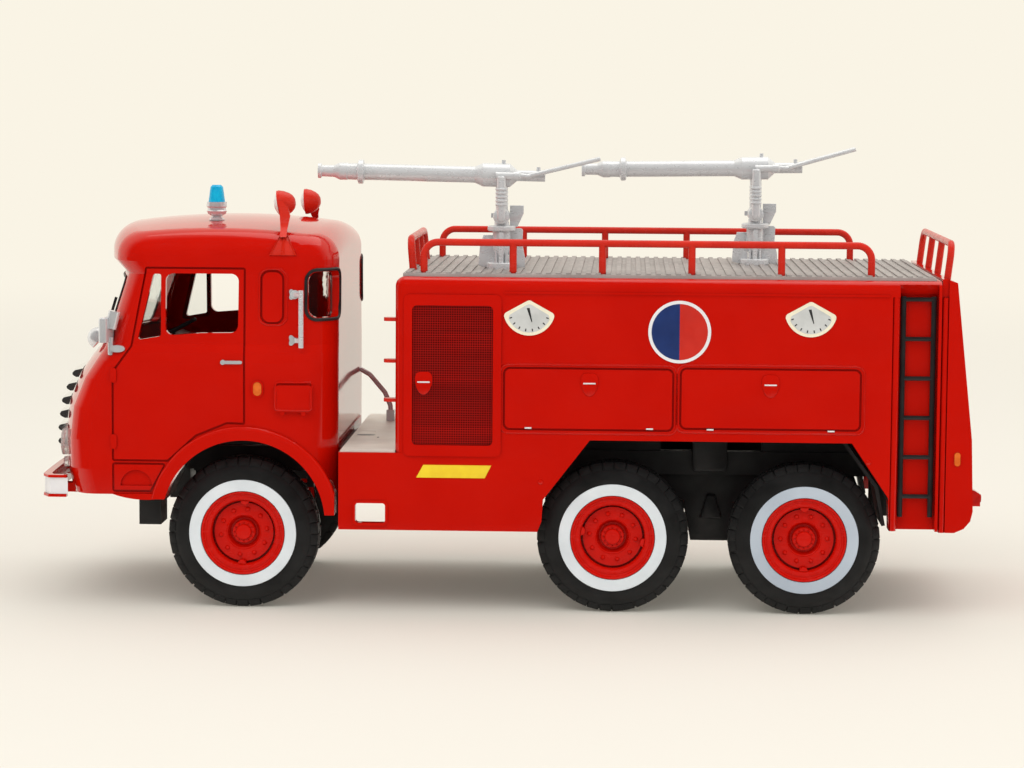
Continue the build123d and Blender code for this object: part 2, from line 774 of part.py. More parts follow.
with BuildPart() as body_shell:
    with BuildSketch(Plane.XZ.offset(-body_half)):
        with BuildLine():
            Polyline(*body_side, close=True)
        make_face()
    extrude(amount=2 * body_half)
    upright = body_shell.edges().filter_by(Axis.Z).filter_by_position(Axis.X, body_front - 0.1, body_front + 0.1)
    fillet(upright, front_corner)
    top_long = body_shell.edges().filter_by(Axis.X).group_by(Axis.Z)[-1]
    fillet(top_long, roof_edge)
    add(body_hollow.part, mode=Mode.SUBTRACT)
    add(recess_zone(0.0), mode=Mode.SUBTRACT)
    for side in (-1, 1):
        # rolled edge beside the ladder's recess
        with Locations((roll_front, side * body_half, 0)):
            Box(2 * roll_radius, 2 * roll_radius, slope_low, align=(Align.MIN, Align.CENTER, Align.MIN),
                mode=Mode.SUBTRACT)
        with Locations((roll_front + roll_radius, side * (body_half - roll_radius), body_bottom)):
            Cylinder(roll_radius, slope_low - body_bottom, align=(Align.CENTER, Align.CENTER, Align.MIN))
        # frame of the vent door, then its sunk middle
        with BuildSketch(Plane.XZ.offset(-side * body_half)):
            with Locations(vent_middle):
                RectangleRounded(*vent_frame, 1.0)
        extrude(amount=-side * raise_high)
        with BuildSketch(Plane.XZ.offset(-side * (body_half - vent_sunk))):
            with Locations(vent_middle):
                RectangleRounded(*vent_hole, 0.8)
        extrude(amount=-side, mode=Mode.SUBTRACT)
        # lines round the lids
        with BuildSketch(Plane.XZ.offset(-side * (body_half - line_depth))):
            for x, z, long, high in lid_table:
                with Locations((x, z)):
                    RectangleRounded(long, high, 1.2)
                    RectangleRounded(long - 2 * line_width, high - 2 * line_width, 1.2 - line_width,
                                     mode=Mode.SUBTRACT)
        extrude(amount=-side, mode=Mode.SUBTRACT)
        # raised rim of the slot in the skirt, and the bead under the roof's edge
        with BuildSketch(Plane.XZ.offset(-side * (body_half - 0.1))):
            with Locations(((slot_front + slot_rear) / 2, (slot_low + slot_high) / 2)):
                RectangleRounded(slot_rear - slot_front + 1, slot_high - slot_low + 1, 0.9)
            with Locations((31.2, 55.0)):
                Rectangle(65.0, 0.4)
        extrude(amount=-side * raise_high)
    with BuildSketch(Plane.XZ.offset(-reach / 2)):
        with Locations(((slot_front + slot_rear) / 2, (slot_low + slot_high) / 2)):
            RectangleRounded(slot_rear - slot_front, slot_high - slot_low, 0.5)
    extrude(amount=reach, mode=Mode.SUBTRACT)
write(body_shell.part, "body_shell")

# printed and fitted pieces on the sides, each a pair
plate_thick = 0.16


def side_pair(outline, base, thick):
    """Two like plates, one on each side: outline is a sketch in X and Z, base the face they sit on."""
    with BuildPart() as pair:
        for side in (-1, 1):
            with BuildSketch(Plane.XZ.offset(-side * base)):
                add(outline)
            extrude(amount=-side * thick)
    return pair.part


with BuildSketch() as vent_outline:
    with Locations(vent_middle):
        RectangleRounded(vent_hole[0] - 2 * seat_gap, vent_hole[1] - 2 * seat_gap, 0.7)
write(side_pair(vent_outline.sketch, body_half - vent_sunk, vent_sunk), "vent_grilles")

# dials, shaped as a fan with its point up: middle x, middle z
dial_places = ((2.95, 50.7), (50.45, 50.9))
dial_half = 4.35
dial_corner = 0.7           # height of the fan's corners over its middle
dial_apex = 3.1
dial_low = -2.95
dial_round = 0.7
with BuildSketch() as dial_outline:
    for x, z in dial_places:
        with BuildSketch(mode=Mode.PRIVATE) as fan:
            with BuildLine():
                Polyline((-dial_half, dial_corner), (0, dial_apex), (dial_half, dial_corner))
                ThreePointArc((dial_half, dial_corner), (0, dial_low), (-dial_half, dial_corner))
            make_face()
            fillet(fan.vertices(), dial_round)
        add(fan.sketch.moved(Location((x, z, 0))))
write(side_pair(dial_outline.sketch, body_half, plate_thick), "side_dials")

roundel_middle = (28.4, 48.6)
roundel_radius = 5.3
with BuildSketch() as roundel_outline:
    with Locations(roundel_middle):
        Circle(roundel_radius)
write(side_pair(roundel_outline.sketch, body_half, plate_thick), "side_roundels")

panel_side = (
    (body_rear + panel_gap, panel_low), (body_rear + panel_gap, panel_high), (73.4, panel_high), (75.0, 57.3),
    (77.9, 30.8), (78.3, 18.6), (77.9, 16.9), (76.8, 15.6), (75.2, panel_low),
)
with BuildPart() as panel_form:
    with BuildSketch(Plane.XZ.offset(-panel_half)):
        with BuildLine():
            Polyline(*panel_side, close=True)
        make_face()
    extrude(amount=2 * panel_half)
with BuildPart() as rear_panel:
    add(panel_form.part)
    with BuildSketch(Plane.XZ.offset(-(panel_half - cast_wall))):
        with BuildLine():
            Polyline((70, panel_low + cast_wall), (70, panel_high - cast_wall), (73.2, panel_high - cast_wall),
                     (76.2, 30.8), (76.6, 18.6), (75.6, panel_low + cast_wall), close=True)
        make_face()
    extrude(amount=2 * (panel_half - cast_wall), mode=Mode.SUBTRACT)
    # rolled edge that meets the ladder's recess
    for side in (-1, 1):
        with Locations((body_rear + panel_gap, side * panel_half, 0)):
            Box(1.1, 1.0, reach, align=(Align.MIN, Align.CENTER, Align.MIN), mode=Mode.SUBTRACT)
        with Locations((body_rear + panel_gap + 0.55, side * (panel_half - 0.5), panel_low)):
            Cylinder(0.55, slope_low - panel_low, align=(Align.CENTER, Align.CENTER, Align.MIN))
write(rear_panel.part, "rear_panel")

tail_y = 14.0
tail_tip = 81.4
with BuildPart() as rear_lamps:
    with BuildSketch(Plane.XZ.offset(-tail_y - 1.8)):
        with BuildLine():
            Polyline((77.5, 17.7), (81.1, 17.7), (81.1, 19.8), (80.0, 20.5), (77.5, 20.5), close=True)
        make_face()
    extrude(amount=3.6)
    with BuildSketch(Plane.YZ.offset(80.6)):
        with Locations((tail_y, 18.9)):
            Circle(0.7)
    extrude(amount=tail_tip - 80.6)
    mirror(about=Plane.XZ)
    add(panel_form.part, mode=Mode.SUBTRACT)
write(rear_lamps.part, "rear_lamps")

# amber reflectors: one pair on the lockers of the cab, one pair on the rear panel
with BuildPart() as side_markers:
    for x, z, wide, base in ((-43.3, 38.1, 1.4, cab_half), (75.5, 27.5, 1.0, panel_half)):
        for side in (-1, 1):
            with BuildSketch(Plane.XZ.offset(-side * base)):
                with Locations((x, z)):
                    SlotOverall(2.3, wide, rotation=90)
            extrude(amount=-side * 0.35)
write(side_markers.part, "side_markers")

slot_wide = 0.45
with BuildPart() as step_plate:
    with Locations((step_front + 0.3, 0, step_top)):
        Box(body_front - step_front - 0.3, 2 * (body_half - 0.4), 0.3,
            align=(Align.MIN, Align.CENTER, Align.MIN))
    with Locations((step_front + 0.3, 0, step_top)):
        Box(3.6, slot_wide, 1, align=(Align.MIN, Align.CENTER, Align.MIN), mode=Mode.SUBTRACT)
write(step_plate.part, "step_plate")

cleat_radius = 1.0
with BuildPart() as body_steps:
    for side in (-1, 1):
        for z in (36.3, 43.0, 50.1):
            with BuildSketch(Plane.XY.offset(z - 0.3)):
                with Locations((body_front - 2.1 + cleat_radius, side * 26.2)):
                    Circle(cleat_radius)
                with Locations((body_front, side * 26.2)):
                    Rectangle(1.2, 2 * cleat_radius, align=(Align.MAX, Align.CENTER))
            extrude(amount=0.6)
write(body_steps.part, "body_steps")

pipe_y = 18.0
pipe_way = ((cab_rear, 37.4), (-28.2, 36.3), (-25.4, 33.0), (-24.4, 30.6), (-24.3, 29.0))
with BuildPart() as intake_pipe:
    add(tube_along([(x, pipe_y, z) for x, z in pipe_way], 0.45, 1.0))
    with Locations((-24.3, pipe_y, step_top + 0.3)):
        Box(1.5, 2.2, 2.0, align=(Align.CENTER, Align.CENTER, Align.MIN))
    with Locations((cab_rear, pipe_y, 37.4)):
        Box(4, 3, 3, align=(Align.MAX, Align.CENTER, Align.CENTER), mode=Mode.SUBTRACT)
write(intake_pipe.part, "intake_pipe")

floor_low = 30.2
floor_thin = 0.8
with BuildPart() as body_floor:
    with Locations((body_front + cast_wall + seat_gap, 0, floor_low)):
        Box(recess_front - 2 * cast_wall - body_front - 2 * seat_gap, 2 * (inner_half - seat_gap), floor_thin,
            align=(Align.MIN, Align.CENTER, Align.MIN))
    # spacers down to the frame rails
    for side in (-1, 1):
        with Locations((body_front + 2, side * frame_half, frame_high)):
            Box(78, 1.6, floor_low - frame_high, align=(Align.MIN, Align.CENTER, Align.MIN))
write(body_floor.part, "body_floor")

post_x = [rail_front + n * rail_pitch for n in range(rail_posts)]
front_rail_x = -17.6
front_rail_half = 16.5
front_rail_post = 0.65
cannon_flange = 2.6
with BuildPart() as deck_plate:
    with Locations((deck_front, 0, body_top)):
        Box(deck_rear - deck_front, 2 * deck_half, deck_thick,
            align=(Align.MIN, Align.CENTER, Align.MIN))
    rib_count = int((deck_rear - deck_front) / rib_pitch)
    with Locations([(deck_front + (n + 0.5) * rib_pitch, 0, body_top + deck_thick)
                    for n in range(rib_count)]):
        Box(rib_width, 2 * deck_half - 1, rib_height,
            align=(Align.CENTER, Align.CENTER, Align.MIN))
    # flat seats for the posts and the cannons
    post_places = [(x, side * rail_y, body_top + deck_thick) for x in post_x for side in (-1, 1)]
    post_places += [(front_rail_x, y * front_rail_half, body_top + deck_thick) for y in (-1, -1 / 3, 1 / 3, 1)]
    with Locations(post_places):
        Cylinder(front_rail_post + 0.15, 2, align=(Align.CENTER, Align.CENTER, Align.MIN),
                 mode=Mode.SUBTRACT)
    for _, x, y, _, _, _ in cannon_table:
        with Locations((x, y, body_top + deck_thick)):
            Cylinder(cannon_flange + 0.2, 2, align=(Align.CENTER, Align.CENTER, Align.MIN), mode=Mode.SUBTRACT)
write(deck_plate.part, "deck_plate")
deck_top = body_top + deck_thick

# --- rails --------------------------------------------------------------
for name, side in (("left", -1), ("right", 1)):
    y = side * rail_y
    with BuildPart() as handrail:
        add(tube_along(((post_x[0], y, deck_top), (post_x[0], y, rail_top),
                        (post_x[-1], y, rail_top), (post_x[-1], y, deck_top)), rail_radius, rail_bend))
        with Locations([(x, y, deck_top) for x in post_x[1:-1]]):
            Cylinder(rail_radius, rail_top - deck_top, align=(Align.CENTER, Align.CENTER, Align.MIN))
    write(handrail.part, f"handrail_{name}")


def cross_rail(foot_x, foot_z, top_x, top_z, half, radius):
    """A rail from side to side on four posts that lean along X."""
    with BuildPart() as rail:
        add(tube_along(((foot_x, -half, foot_z), (top_x, -half, top_z),
                        (top_x, half, top_z), (foot_x, half, foot_z)), radius, rail_bend))
        for y in (-half / 3, half / 3):
            with BuildLine() as post:
                Line((foot_x, y, foot_z), (top_x, y, top_z))
            with BuildSketch(Plane(origin=post.line @ 0, z_dir=post.line % 0)):
                Circle(radius)
            sweep()
    return rail.part


front_rail = cross_rail(front_rail_x, deck_top - 0.5, -18.1, 63.3, front_rail_half, front_rail_post)
with BuildPart() as under_deck:
    with Locations((0, 0, deck_top)):
        Box(2 * reach, reach, 4, align=(Align.CENTER, Align.CENTER, Align.MAX))
write(front_rail - under_deck.part, "front_rail")
rear_rail = cross_rail(73.6, 56.8, 74.4, 63.6, 24.0, 0.6)
write(rear_rail - panel_form.part, "rear_rail")

# --- ladders ----------------------------------------------------------------
ladder_rails = (66.1, 71.2)
ladder_low = 17.4
ladder_high = slope_low + 0.1
ladder_bar = 0.45
rung_bar = 0.38
rung_low = 20.9
rung_pitch = 6.7
rung_count = 6
ladder_y = recess_wall + ladder_bar + 0.5
for name, side in (("left", -1), ("right", 1)):
    y = side * ladder_y
    with BuildPart() as ladder:
        for x in ladder_rails:
            with BuildSketch(Plane.XY.offset(ladder_low)):
                with Locations((x, y)):
                    RegularPolygon(ladder_bar, 12)
            extrude(amount=ladder_high - ladder_low)
        for n in range(rung_count):
            with BuildSketch(Plane.YZ.offset(ladder_rails[0])):
                with Locations((y, rung_low + n * rung_pitch)):
                    RegularPolygon(rung_bar, 8)
            extrude(amount=ladder_rails[1] - ladder_rails[0])
        # stand-off feet against the recess wall
        for x in ladder_rails:
            for z in (ladder_low + 3, ladder_high - 3):
                with Locations((x, side * recess_wall, z)):
                    Box(0.6, ladder_y - recess_wall, 0.6,
                        align=(Align.CENTER, Align.MIN if side > 0 else Align.MAX, Align.CENTER))
    write(ladder.part, f"ladder_{name}")

# --- cannons ----------------------------------------------------------------
# barrel outline: distance from the middle of the housing, radius
barrel_outline = (
    (-31.2, 1.3), (-30.7, 1.3), (-30.5, 1.0), (-28.4, 1.05), (-27.4, 1.5), (-26.2, 1.5), (-25.9, 1.42),
    (-24.4, 1.45), (-24.1, 2.1), (-23.3, 2.1), (-23.1, barrel_radius), (-3.75, barrel_radius),
    (-2.35, housing_radius), (2.35, housing_radius), (3.6, 0.95), (8.5, 0.95),
)
muzzle_bore = (0.7, 2.5)
# gas bottle on each side of the housing: radius, distance along
bottle_outline = ((0, 0), (0.6, 0), (0.6, 3.1), (0.72, 3.1), (0.72, 4.1), (0.5, 4.4), (0.3, 6.0), (0, 6.0))
bottle_y = 2.3
handle_way = ((5.4, 2.1, 0.0), (9.0, 1.5, 0.9), (18.0, 1.5, 3.3))
handle_radius = 0.38
nub_places = ((1.2, housing_radius), (7.3, 0.95))
# stand outline above the deck: radius, height
stand_outline = (
    (0, 0), (2.6, 0), (2.6, 1.0), (0.9, 1.0), (0.9, 2.1), (1.15, 2.4), (1.5, 2.8), (1.6, 3.6), (1.6, 6.3),
    (2.35, 6.3), (2.35, 7.1), (1.2, 7.1), (1.2, 8.2), (0, 8.2),
)
boss_z = 8.7
feed_y = 2.5
feed_radius = 0.75
ring_low = 11.2
ring_pitch = 0.8
ring_count = 4
# plates beside the post: x from, x to, z from, z to
plate_table = ((-4.1, -1.4, 0.0, 5.1), (1.4, 3.6, 0.0, 6.3), (1.1, 3.4, 6.9, 10.2))
for name, x, y, height, shift, tilt in cannon_table:
    with BuildPart() as barrel:
        with BuildSketch(Plane.XZ):
            with BuildLine():
                Polyline((barrel_outline[0][0], 0), *barrel_outline, (barrel_outline[-1][0], 0), close=True)
            make_face()
        revolve(axis=Axis.X)
        with Locations((barrel_outline[0][0], 0, 0)):
            Cylinder(muzzle_bore[0], muzzle_bore[1], rotation=(0, 90, 0),
                     align=(Align.CENTER, Align.CENTER, Align.MIN), mode=Mode.SUBTRACT)
        for nub_x, nub_z in nub_places:
            with Locations((nub_x, 0, nub_z - 0.3)):
                Cylinder(0.35, 0.9, align=(Align.CENTER, Align.CENTER, Align.MIN))
        for side in (-1, 1):
            add(turned(bottle_outline).rotate(Axis.Y, 90).moved(Location((0, side * bottle_y, 0))))
            with Locations((1.5, side * (bottle_y - 0.4), 0)):
                Box(1.6, 0.8, 0.6)
            add(tube_along([(a, side * b, c) for a, b, c in handle_way], handle_radius, 1.5))
    write(barrel.part.moved(Location((x + shift, y, height), (0, -tilt, 0))), f"{name}_barrel")
    drop = height - deck_top
    with BuildPart() as stand:
        add(turned(stand_outline))
        # web in front of the cup
        with Locations((0, -1.4, 0)):
            Box(0.85, 1.4, 6.3, align=(Align.CENTER, Align.CENTER, Align.MIN))
        with Locations((0, 0, boss_z)):
            Cylinder(1.4, 2 * (feed_y + 0.8), rotation=(90, 0, 0))
        Cylinder(1.1, drop - 1.0, align=(Align.CENTER, Align.CENTER, Align.MIN))
        for side in (-1, 1):
            with Locations((0, side * feed_y, boss_z)):
                Cylinder(feed_radius, drop - boss_z, align=(Align.CENTER, Align.CENTER, Align.MIN))
            with Locations([(0, side * feed_y, ring_low + n * ring_pitch) for n in range(ring_count)]):
                Cylinder(feed_radius + 0.22, 0.45)
        for x_low, x_high, z_low, z_high in plate_table:
            with Locations((x_low, 0.75, z_low)):
                Box(x_high - x_low, 0.5, z_high - z_low, align=(Align.MIN, Align.MIN, Align.MIN))
            with Locations((0, 0.75, (z_low + z_high) / 2)):
                Box(2 * min(abs(x_low), abs(x_high)) + 0.4, 0.5, 0.8, align=(Align.CENTER, Align.MIN, Align.CENTER))
        # room for the housing and its bottles
        with Locations(Location((shift, 0, drop), (0, -tilt, 0))):
            Cylinder(housing_radius + seat_gap, 20, rotation=(0, 90, 0), mode=Mode.SUBTRACT)
            Box(14, 2 * (bottle_y + 0.9), 2.0, mode=Mode.SUBTRACT)
    write(stand.part.moved(Location((x, y, deck_top))), f"{name}_stand")

# --- chassis ------------------------------------------------------------------
block_width = 3.4
cross_members = (-70.0, -28.0, -8.0, 6.0, 33.75, 66.0)
cross_width = 3.6
boss_radius = 3.0
boss_low = 14.0
with BuildPart() as chassis_frame:
    for side in (-1, 1):
        with Locations((frame_front, side * frame_half, frame_low)):
            Box(frame_rear - frame_front, frame_width, frame_high - frame_low,
                align=(Align.MIN, Align.CENTER, Align.MIN))
    for x in cross_members:
        with Locations((x, 0, frame_low)):
            Box(cross_width, 2 * frame_half, frame_high - frame_low,
                align=(Align.CENTER, Align.CENTER, Align.MIN))
    # horns that carry the bumper's arms
    for side in (-1, 1):
        with Locations((frame_front, side * frame_half, bumper_low - 1.0)):
            Box(3.0, frame_width, frame_low - bumper_low + 2.0,
                align=(Align.MIN, Align.CENTER, Align.MIN))
    # bearing blocks under the rails
    for x in wheel_stations.values():
        for side in (-1, 1):
            with BuildSketch(Plane.XZ.offset(-side * frame_half - block_width / 2)):
                with BuildLine():
                    Polyline((x - 1.6, tyre_radius - 2.6), (x + 1.6, tyre_radius - 2.6), (x + 2.3, tyre_radius),
                             (x + 3.6, frame_low + 1), (x - 3.6, frame_low + 1), (x - 2.3, tyre_radius), close=True)
                make_face()
            extrude(amount=block_width)
        with BuildSketch(Plane.XZ.offset(-reach / 2)):
            with Locations((x, tyre_radius)):
                Circle(axle_radius + run_gap)
        extrude(amount=reach, mode=Mode.SUBTRACT)
    # screw bosses for the display plinth
    for x in mount_stations:
        with Locations((x, 0, boss_low)):
            Cylinder(boss_radius, frame_low - boss_low + 1, align=(Align.CENTER, Align.CENTER, Align.MIN))
        with Locations((x, 0, boss_low)):
            Cylinder(mount_radius, mount_depth, align=(Align.CENTER, Align.CENTER, Align.MIN),
                     mode=Mode.SUBTRACT)
write(chassis_frame.part, "chassis_frame")

# leaf packs inside the rails: one over the front axle, one from axle to axle at the rear
leaf_y = 9.4
leaf_wide = 2.2
leaf_high = 0.5
leaf_count = 5
leaf_step = 0.16            # share of the longest leaf that each next one is shorter
hanger_long = 1.2
bogie_x = (wheel_stations["middle"] + wheel_stations["rear"]) / 2
# middle x, half length of the longest leaf, its height, where the hangers or saddles stand
spring_table = (
    (wheel_stations["front"], 10.5, 19.4, (-9.9, 9.9), frame_half - leaf_y),
    (bogie_x, 13.4, 18.4, (-1.1, 1.1), leaf_wide / 2),
)
with BuildPart() as suspension:
    for x, half_long, top, stands, outward in spring_table:
        for side in (-1, 1):
            for n in range(leaf_count):
                with Locations((x, side * leaf_y, top - n * leaf_high)):
                    Box(2 * half_long * (1 - leaf_step * n), leaf_wide, leaf_high,
                        align=(Align.CENTER, Align.CENTER, Align.MAX))
            for stand_x in stands:
                with Locations((x + stand_x, side * leaf_y, top)):
                    Box(hanger_long, leaf_wide, frame_low - top, align=(Align.CENTER, Align.CENTER, Align.MIN))
                with Locations((x + stand_x, side * leaf_y, frame_low - leaf_high)):
                    Box(hanger_long, outward, leaf_high,
                        align=(Align.CENTER, Align.MIN if side > 0 else Align.MAX, Align.MIN))
write(suspension.part, "suspension")

# drive shaft over the axles with its gear cases
shaft_z = 18.0
shaft_radius = 0.9
shaft_front = mount_stations[0] + boss_radius
case_radius = 2.9
case_long = 6.4
with BuildPart() as driveline:
    with BuildSketch(Plane.YZ.offset(shaft_front)):
        with Locations((0, shaft_z)):
            RegularPolygon(shaft_radius, 16)
    extrude(amount=wheel_stations["rear"] - shaft_front)
    for x in (wheel_stations["middle"], wheel_stations["rear"]):
        with BuildSketch(Plane.YZ.offset(x - case_long / 2)):
            with Locations((0, shaft_z)):
                RegularPolygon(case_radius, 16)
        extrude(amount=case_long, taper=14)
        with Locations((x, 0, shaft_z)):
            Box(2.6, 2 * frame_half - block_width, 1.6)
write(driveline.part, "driveline")

# rubber flaps behind the rear wheels, liners in the front arches and a case before each front wheel
flap_thick = 0.6
flap_way = ((56.6, 29.8), (62.2, 22.2), (63.5, 15.6))
flap_y = (15.0, 26.2)
liner_y = (15.0, 25.0)
liner_low = 18.6
liner_rear = -32.8
liner_outer = 14.5
liner_inner = 14.1
case_x = (-65.0, -61.2)
case_z = (13.4, 18.7)
case_y = (14.0, 20.5)
with BuildPart() as mudguards:
    for side in (-1, 1):
        inward = Align.MIN if side > 0 else Align.MAX
        with BuildSketch(Plane.XZ.offset(-side * flap_y[0])):
            with BuildLine() as way:
                Polyline(*flap_way)
            trace(way.line, flap_thick)
        extrude(amount=-side * (flap_y[1] - flap_y[0]))
        with BuildSketch(Plane.XZ.offset(-side * liner_y[0])):
            with Locations((arch_x, arch_z)):
                Circle(liner_outer)
                Circle(liner_inner, mode=Mode.SUBTRACT)
            with Locations((liner_rear, liner_low)):
                Rectangle(reach, reach, align=(Align.MAX, Align.MIN), mode=Mode.INTERSECT)
            # rib up to the cab's floor
            with Locations((arch_x, arch_z + liner_inner)):
                Rectangle(3.0, floor_top - floor_thick - arch_z - liner_inner, align=(Align.CENTER, Align.MIN))
        extrude(amount=-side * (liner_y[1] - liner_y[0]))
        with Locations((case_x[0], side * case_y[0], case_z[0])):
            Box(case_x[1] - case_x[0], case_y[1] - case_y[0], case_z[1] - case_z[0],
                align=(Align.MIN, inward, Align.MIN))
        # web from the case up to the frame rail
        with Locations((case_x[0], side * (frame_half + frame_width / 2), case_z[0])):
            Box(case_x[1] - case_x[0], 1.0, frame_low + 1.0 - case_z[0], align=(Align.MIN, inward, Align.MIN))
write(mudguards.part, "mudguards")

# --- wheels -------------------------------------------------------------------
# A wheel's outer face lies at distance 0 and its inner face at tyre_width.


def ring(outline, bore_radius):
    """A many-sided ring about the Y axis: outline holds (radius, distance along Y)."""
    with BuildPart() as piece:
        for radius, along in outline:
            with BuildSketch(Plane.XZ.offset(-along)):
                RegularPolygon(radius, lug_count)
        loft(ruled=True)
        with BuildSketch(Plane.XZ.offset(reach / 2)):
            RegularPolygon(bore_radius, lug_count)
        extrude(amount=-reach, mode=Mode.SUBTRACT)
    return piece.part


# tread outline: radius of the lugs, radius between them, distance along Y
tread_table = (
    (shoulder_radius, shoulder_radius - 0.05, 0.0),
    (tyre_radius, tyre_radius - lug_depth, shoulder_width),
    (tyre_radius, tyre_radius - lug_depth, tyre_width - shoulder_width),
    (shoulder_radius, shoulder_radius - 0.05, tyre_width),
)
pitch = 360.0 / lug_count
with BuildPart() as one_tyre:
    for lug_top, lug_root, along in tread_table:
        corners = []
        for n in range(lug_count):
            for radius, turn in ((lug_root, 0.0), (lug_top, 0.05), (lug_top, lug_share - 0.05), (lug_root, lug_share)):
                spoke = Vector(radius, 0).rotate(Axis.Z, (n + turn) * pitch)
                corners.append((spoke.X, spoke.Y))
        with BuildSketch(Plane.XZ.offset(-along)):
            with BuildLine():
                Polyline(*corners, close=True)
            make_face()
    loft(ruled=True)
    with BuildSketch(Plane.XZ.offset(reach / 2)):
        RegularPolygon(tyre_bead + 0.06, lug_count)
    extrude(amount=-reach, mode=Mode.SUBTRACT)
    # sunk seat of the whitewall
    with BuildSketch(Plane.XZ):
        RegularPolygon(whitewall_outer, lug_count)
    extrude(amount=-whitewall_thick, mode=Mode.SUBTRACT)

whitewall_edge = whitewall_outer - 2 * seat_gap
whitewall_ring = ((whitewall_edge, 0.0), (whitewall_edge, whitewall_thick - seat_gap))
one_whitewall = ring(whitewall_ring, whitewall_inner + 0.06)

# rim and hub in one: distance along, radius, from the outer lip to the back
rim_back = 4.2
axle_hole = axle_radius + seat_gap / 2
rim_outline = (
    (0.15, rim_lip), (0.15, rim_lip - 0.4), (0.7, rim_well), (0.9, rim_dish), (1.7, rim_dish - 0.2),
    (1.7, hub_recess + 0.2), (2.7, hub_recess), (2.7, hub_cap), (1.5, hub_cap - 0.2), (1.5, axle_hole),
    (rim_back, axle_hole), (rim_back, rim_dish), (tyre_width - 0.6, rim_well), (tyre_width - 0.6, rim_lip),
)
nut_circle = 4.1
nut_radius = 0.42
nut_count = 10
with BuildPart() as one_rim:
    with BuildSketch(Plane.YZ):
        with BuildLine():
            Polyline(*rim_outline, close=True)
        make_face()
    revolve(axis=Axis.Y)
    with BuildSketch(Plane.XZ.offset(-1.25)):
        with PolarLocations(nut_circle, nut_count):
            RegularPolygon(nut_radius, 6)
    extrude(amount=-1.0)

for name, x in wheel_stations.items():
    pieces = {"tyres": one_tyre.part, "whitewalls": one_whitewall, "rims": one_rim.part}
    for kind, piece in pieces.items():
        near = piece.moved(Location((x, -tyre_face_y, tyre_radius)))
        with BuildPart() as pair:
            add(near)
            mirror(near, Plane.XZ)
        write(pair.part, f"{name}_{kind}")
    with BuildPart() as axle:
        with BuildSketch(Plane.XZ.offset(-(tyre_face_y - 1.9))):
            with Locations((x, tyre_radius)):
                Circle(axle_radius)
        extrude(amount=2 * (tyre_face_y - 1.9))
    write(axle.part, f"{name}_axle")
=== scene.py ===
import bpy
import bmesh
import math
from mathutils import Matrix, Vector
from mathutils.bvhtree import BVHTree


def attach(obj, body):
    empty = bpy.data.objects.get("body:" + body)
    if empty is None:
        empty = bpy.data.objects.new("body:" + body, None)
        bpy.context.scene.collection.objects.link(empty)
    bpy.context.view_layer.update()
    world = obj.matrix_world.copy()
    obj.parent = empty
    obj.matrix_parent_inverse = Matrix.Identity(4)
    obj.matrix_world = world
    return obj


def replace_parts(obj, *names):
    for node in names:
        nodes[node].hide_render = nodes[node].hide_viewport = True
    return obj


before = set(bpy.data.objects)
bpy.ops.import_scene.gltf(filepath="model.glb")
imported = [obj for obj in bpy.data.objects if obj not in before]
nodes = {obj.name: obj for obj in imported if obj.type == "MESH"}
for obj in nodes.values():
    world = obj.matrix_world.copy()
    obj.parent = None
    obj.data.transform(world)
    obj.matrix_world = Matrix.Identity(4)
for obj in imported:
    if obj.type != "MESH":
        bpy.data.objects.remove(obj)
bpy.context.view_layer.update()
print("frame loaded:", len(nodes), "nodes")

mm = 0.001
micron = 1e-6

# camera: position in mm, angles in degrees, heading turned from +Y towards +X
cameraPlace = {"position": (19.785, -519.875, 88.190), "heading": -2.29356847, "pitch": 5.66322673,
               "roll": 0.40568249, "lens": 102.38}


def makeCamera(place):
    heading, pitch, roll = (math.radians(place[k]) for k in ("heading", "pitch", "roll"))
    forward = Vector((math.sin(heading) * math.cos(pitch), math.cos(heading) * math.cos(pitch),
                      -math.sin(pitch)))
    level = Vector((math.cos(heading), -math.sin(heading), 0))
    up = Vector((math.sin(heading) * math.sin(pitch), math.cos(heading) * math.sin(pitch), math.cos(pitch)))
    right = math.cos(roll) * level + math.sin(roll) * up
    top = math.cos(roll) * up - math.sin(roll) * level
    data = bpy.data.cameras.new("camera")
    data.lens = place["lens"]
    data.clip_start = 0.01
    data.clip_end = 20
    camera = bpy.data.objects.new("camera", data)
    bpy.context.scene.collection.objects.link(camera)
    turn = Matrix((right, top, -forward)).transposed().to_4x4()
    camera.matrix_world = Matrix.Translation(Vector(place["position"]) * mm) @ turn
    bpy.context.scene.camera = camera


makeCamera(cameraPlace)
bpy.context.scene.view_settings.view_transform = "Standard"

# lamps: place and size in metres
lampTable = {
    "keyLamp": {"place": (-0.25, -0.60, 0.75), "size": 0.6, "power": 1.95, "shiny": False},
    "topLamp": {"place": (0.15, 0.12, 0.80), "size": 0.7, "power": 1.5, "shiny": True},
    "sideLamp": {"place": (0.75, -0.35, 0.35), "size": 0.4, "power": 0.7, "shiny": False},
}
lampAim = (0, 0, 0.04)
lampColour = (1.0, 0.985, 0.96)
for lampName, lamp in lampTable.items():
    lampData = bpy.data.lights.new(lampName, "AREA")
    lampData.shape = "SQUARE"
    lampData.size = lamp["size"]
    lampData.energy = lamp["power"]
    lampData.color = lampColour
    lampObject = bpy.data.objects.new(lampName, lampData)
    bpy.context.scene.collection.objects.link(lampObject)
    lampObject.visible_glossy = lamp["shiny"]
    toAim = Vector(lampAim) - Vector(lamp["place"])
    lampTurn = toAim.to_track_quat("-Z", "Y").to_matrix().to_4x4()
    lampObject.matrix_world = Matrix.Translation(Vector(lamp["place"])) @ lampTurn


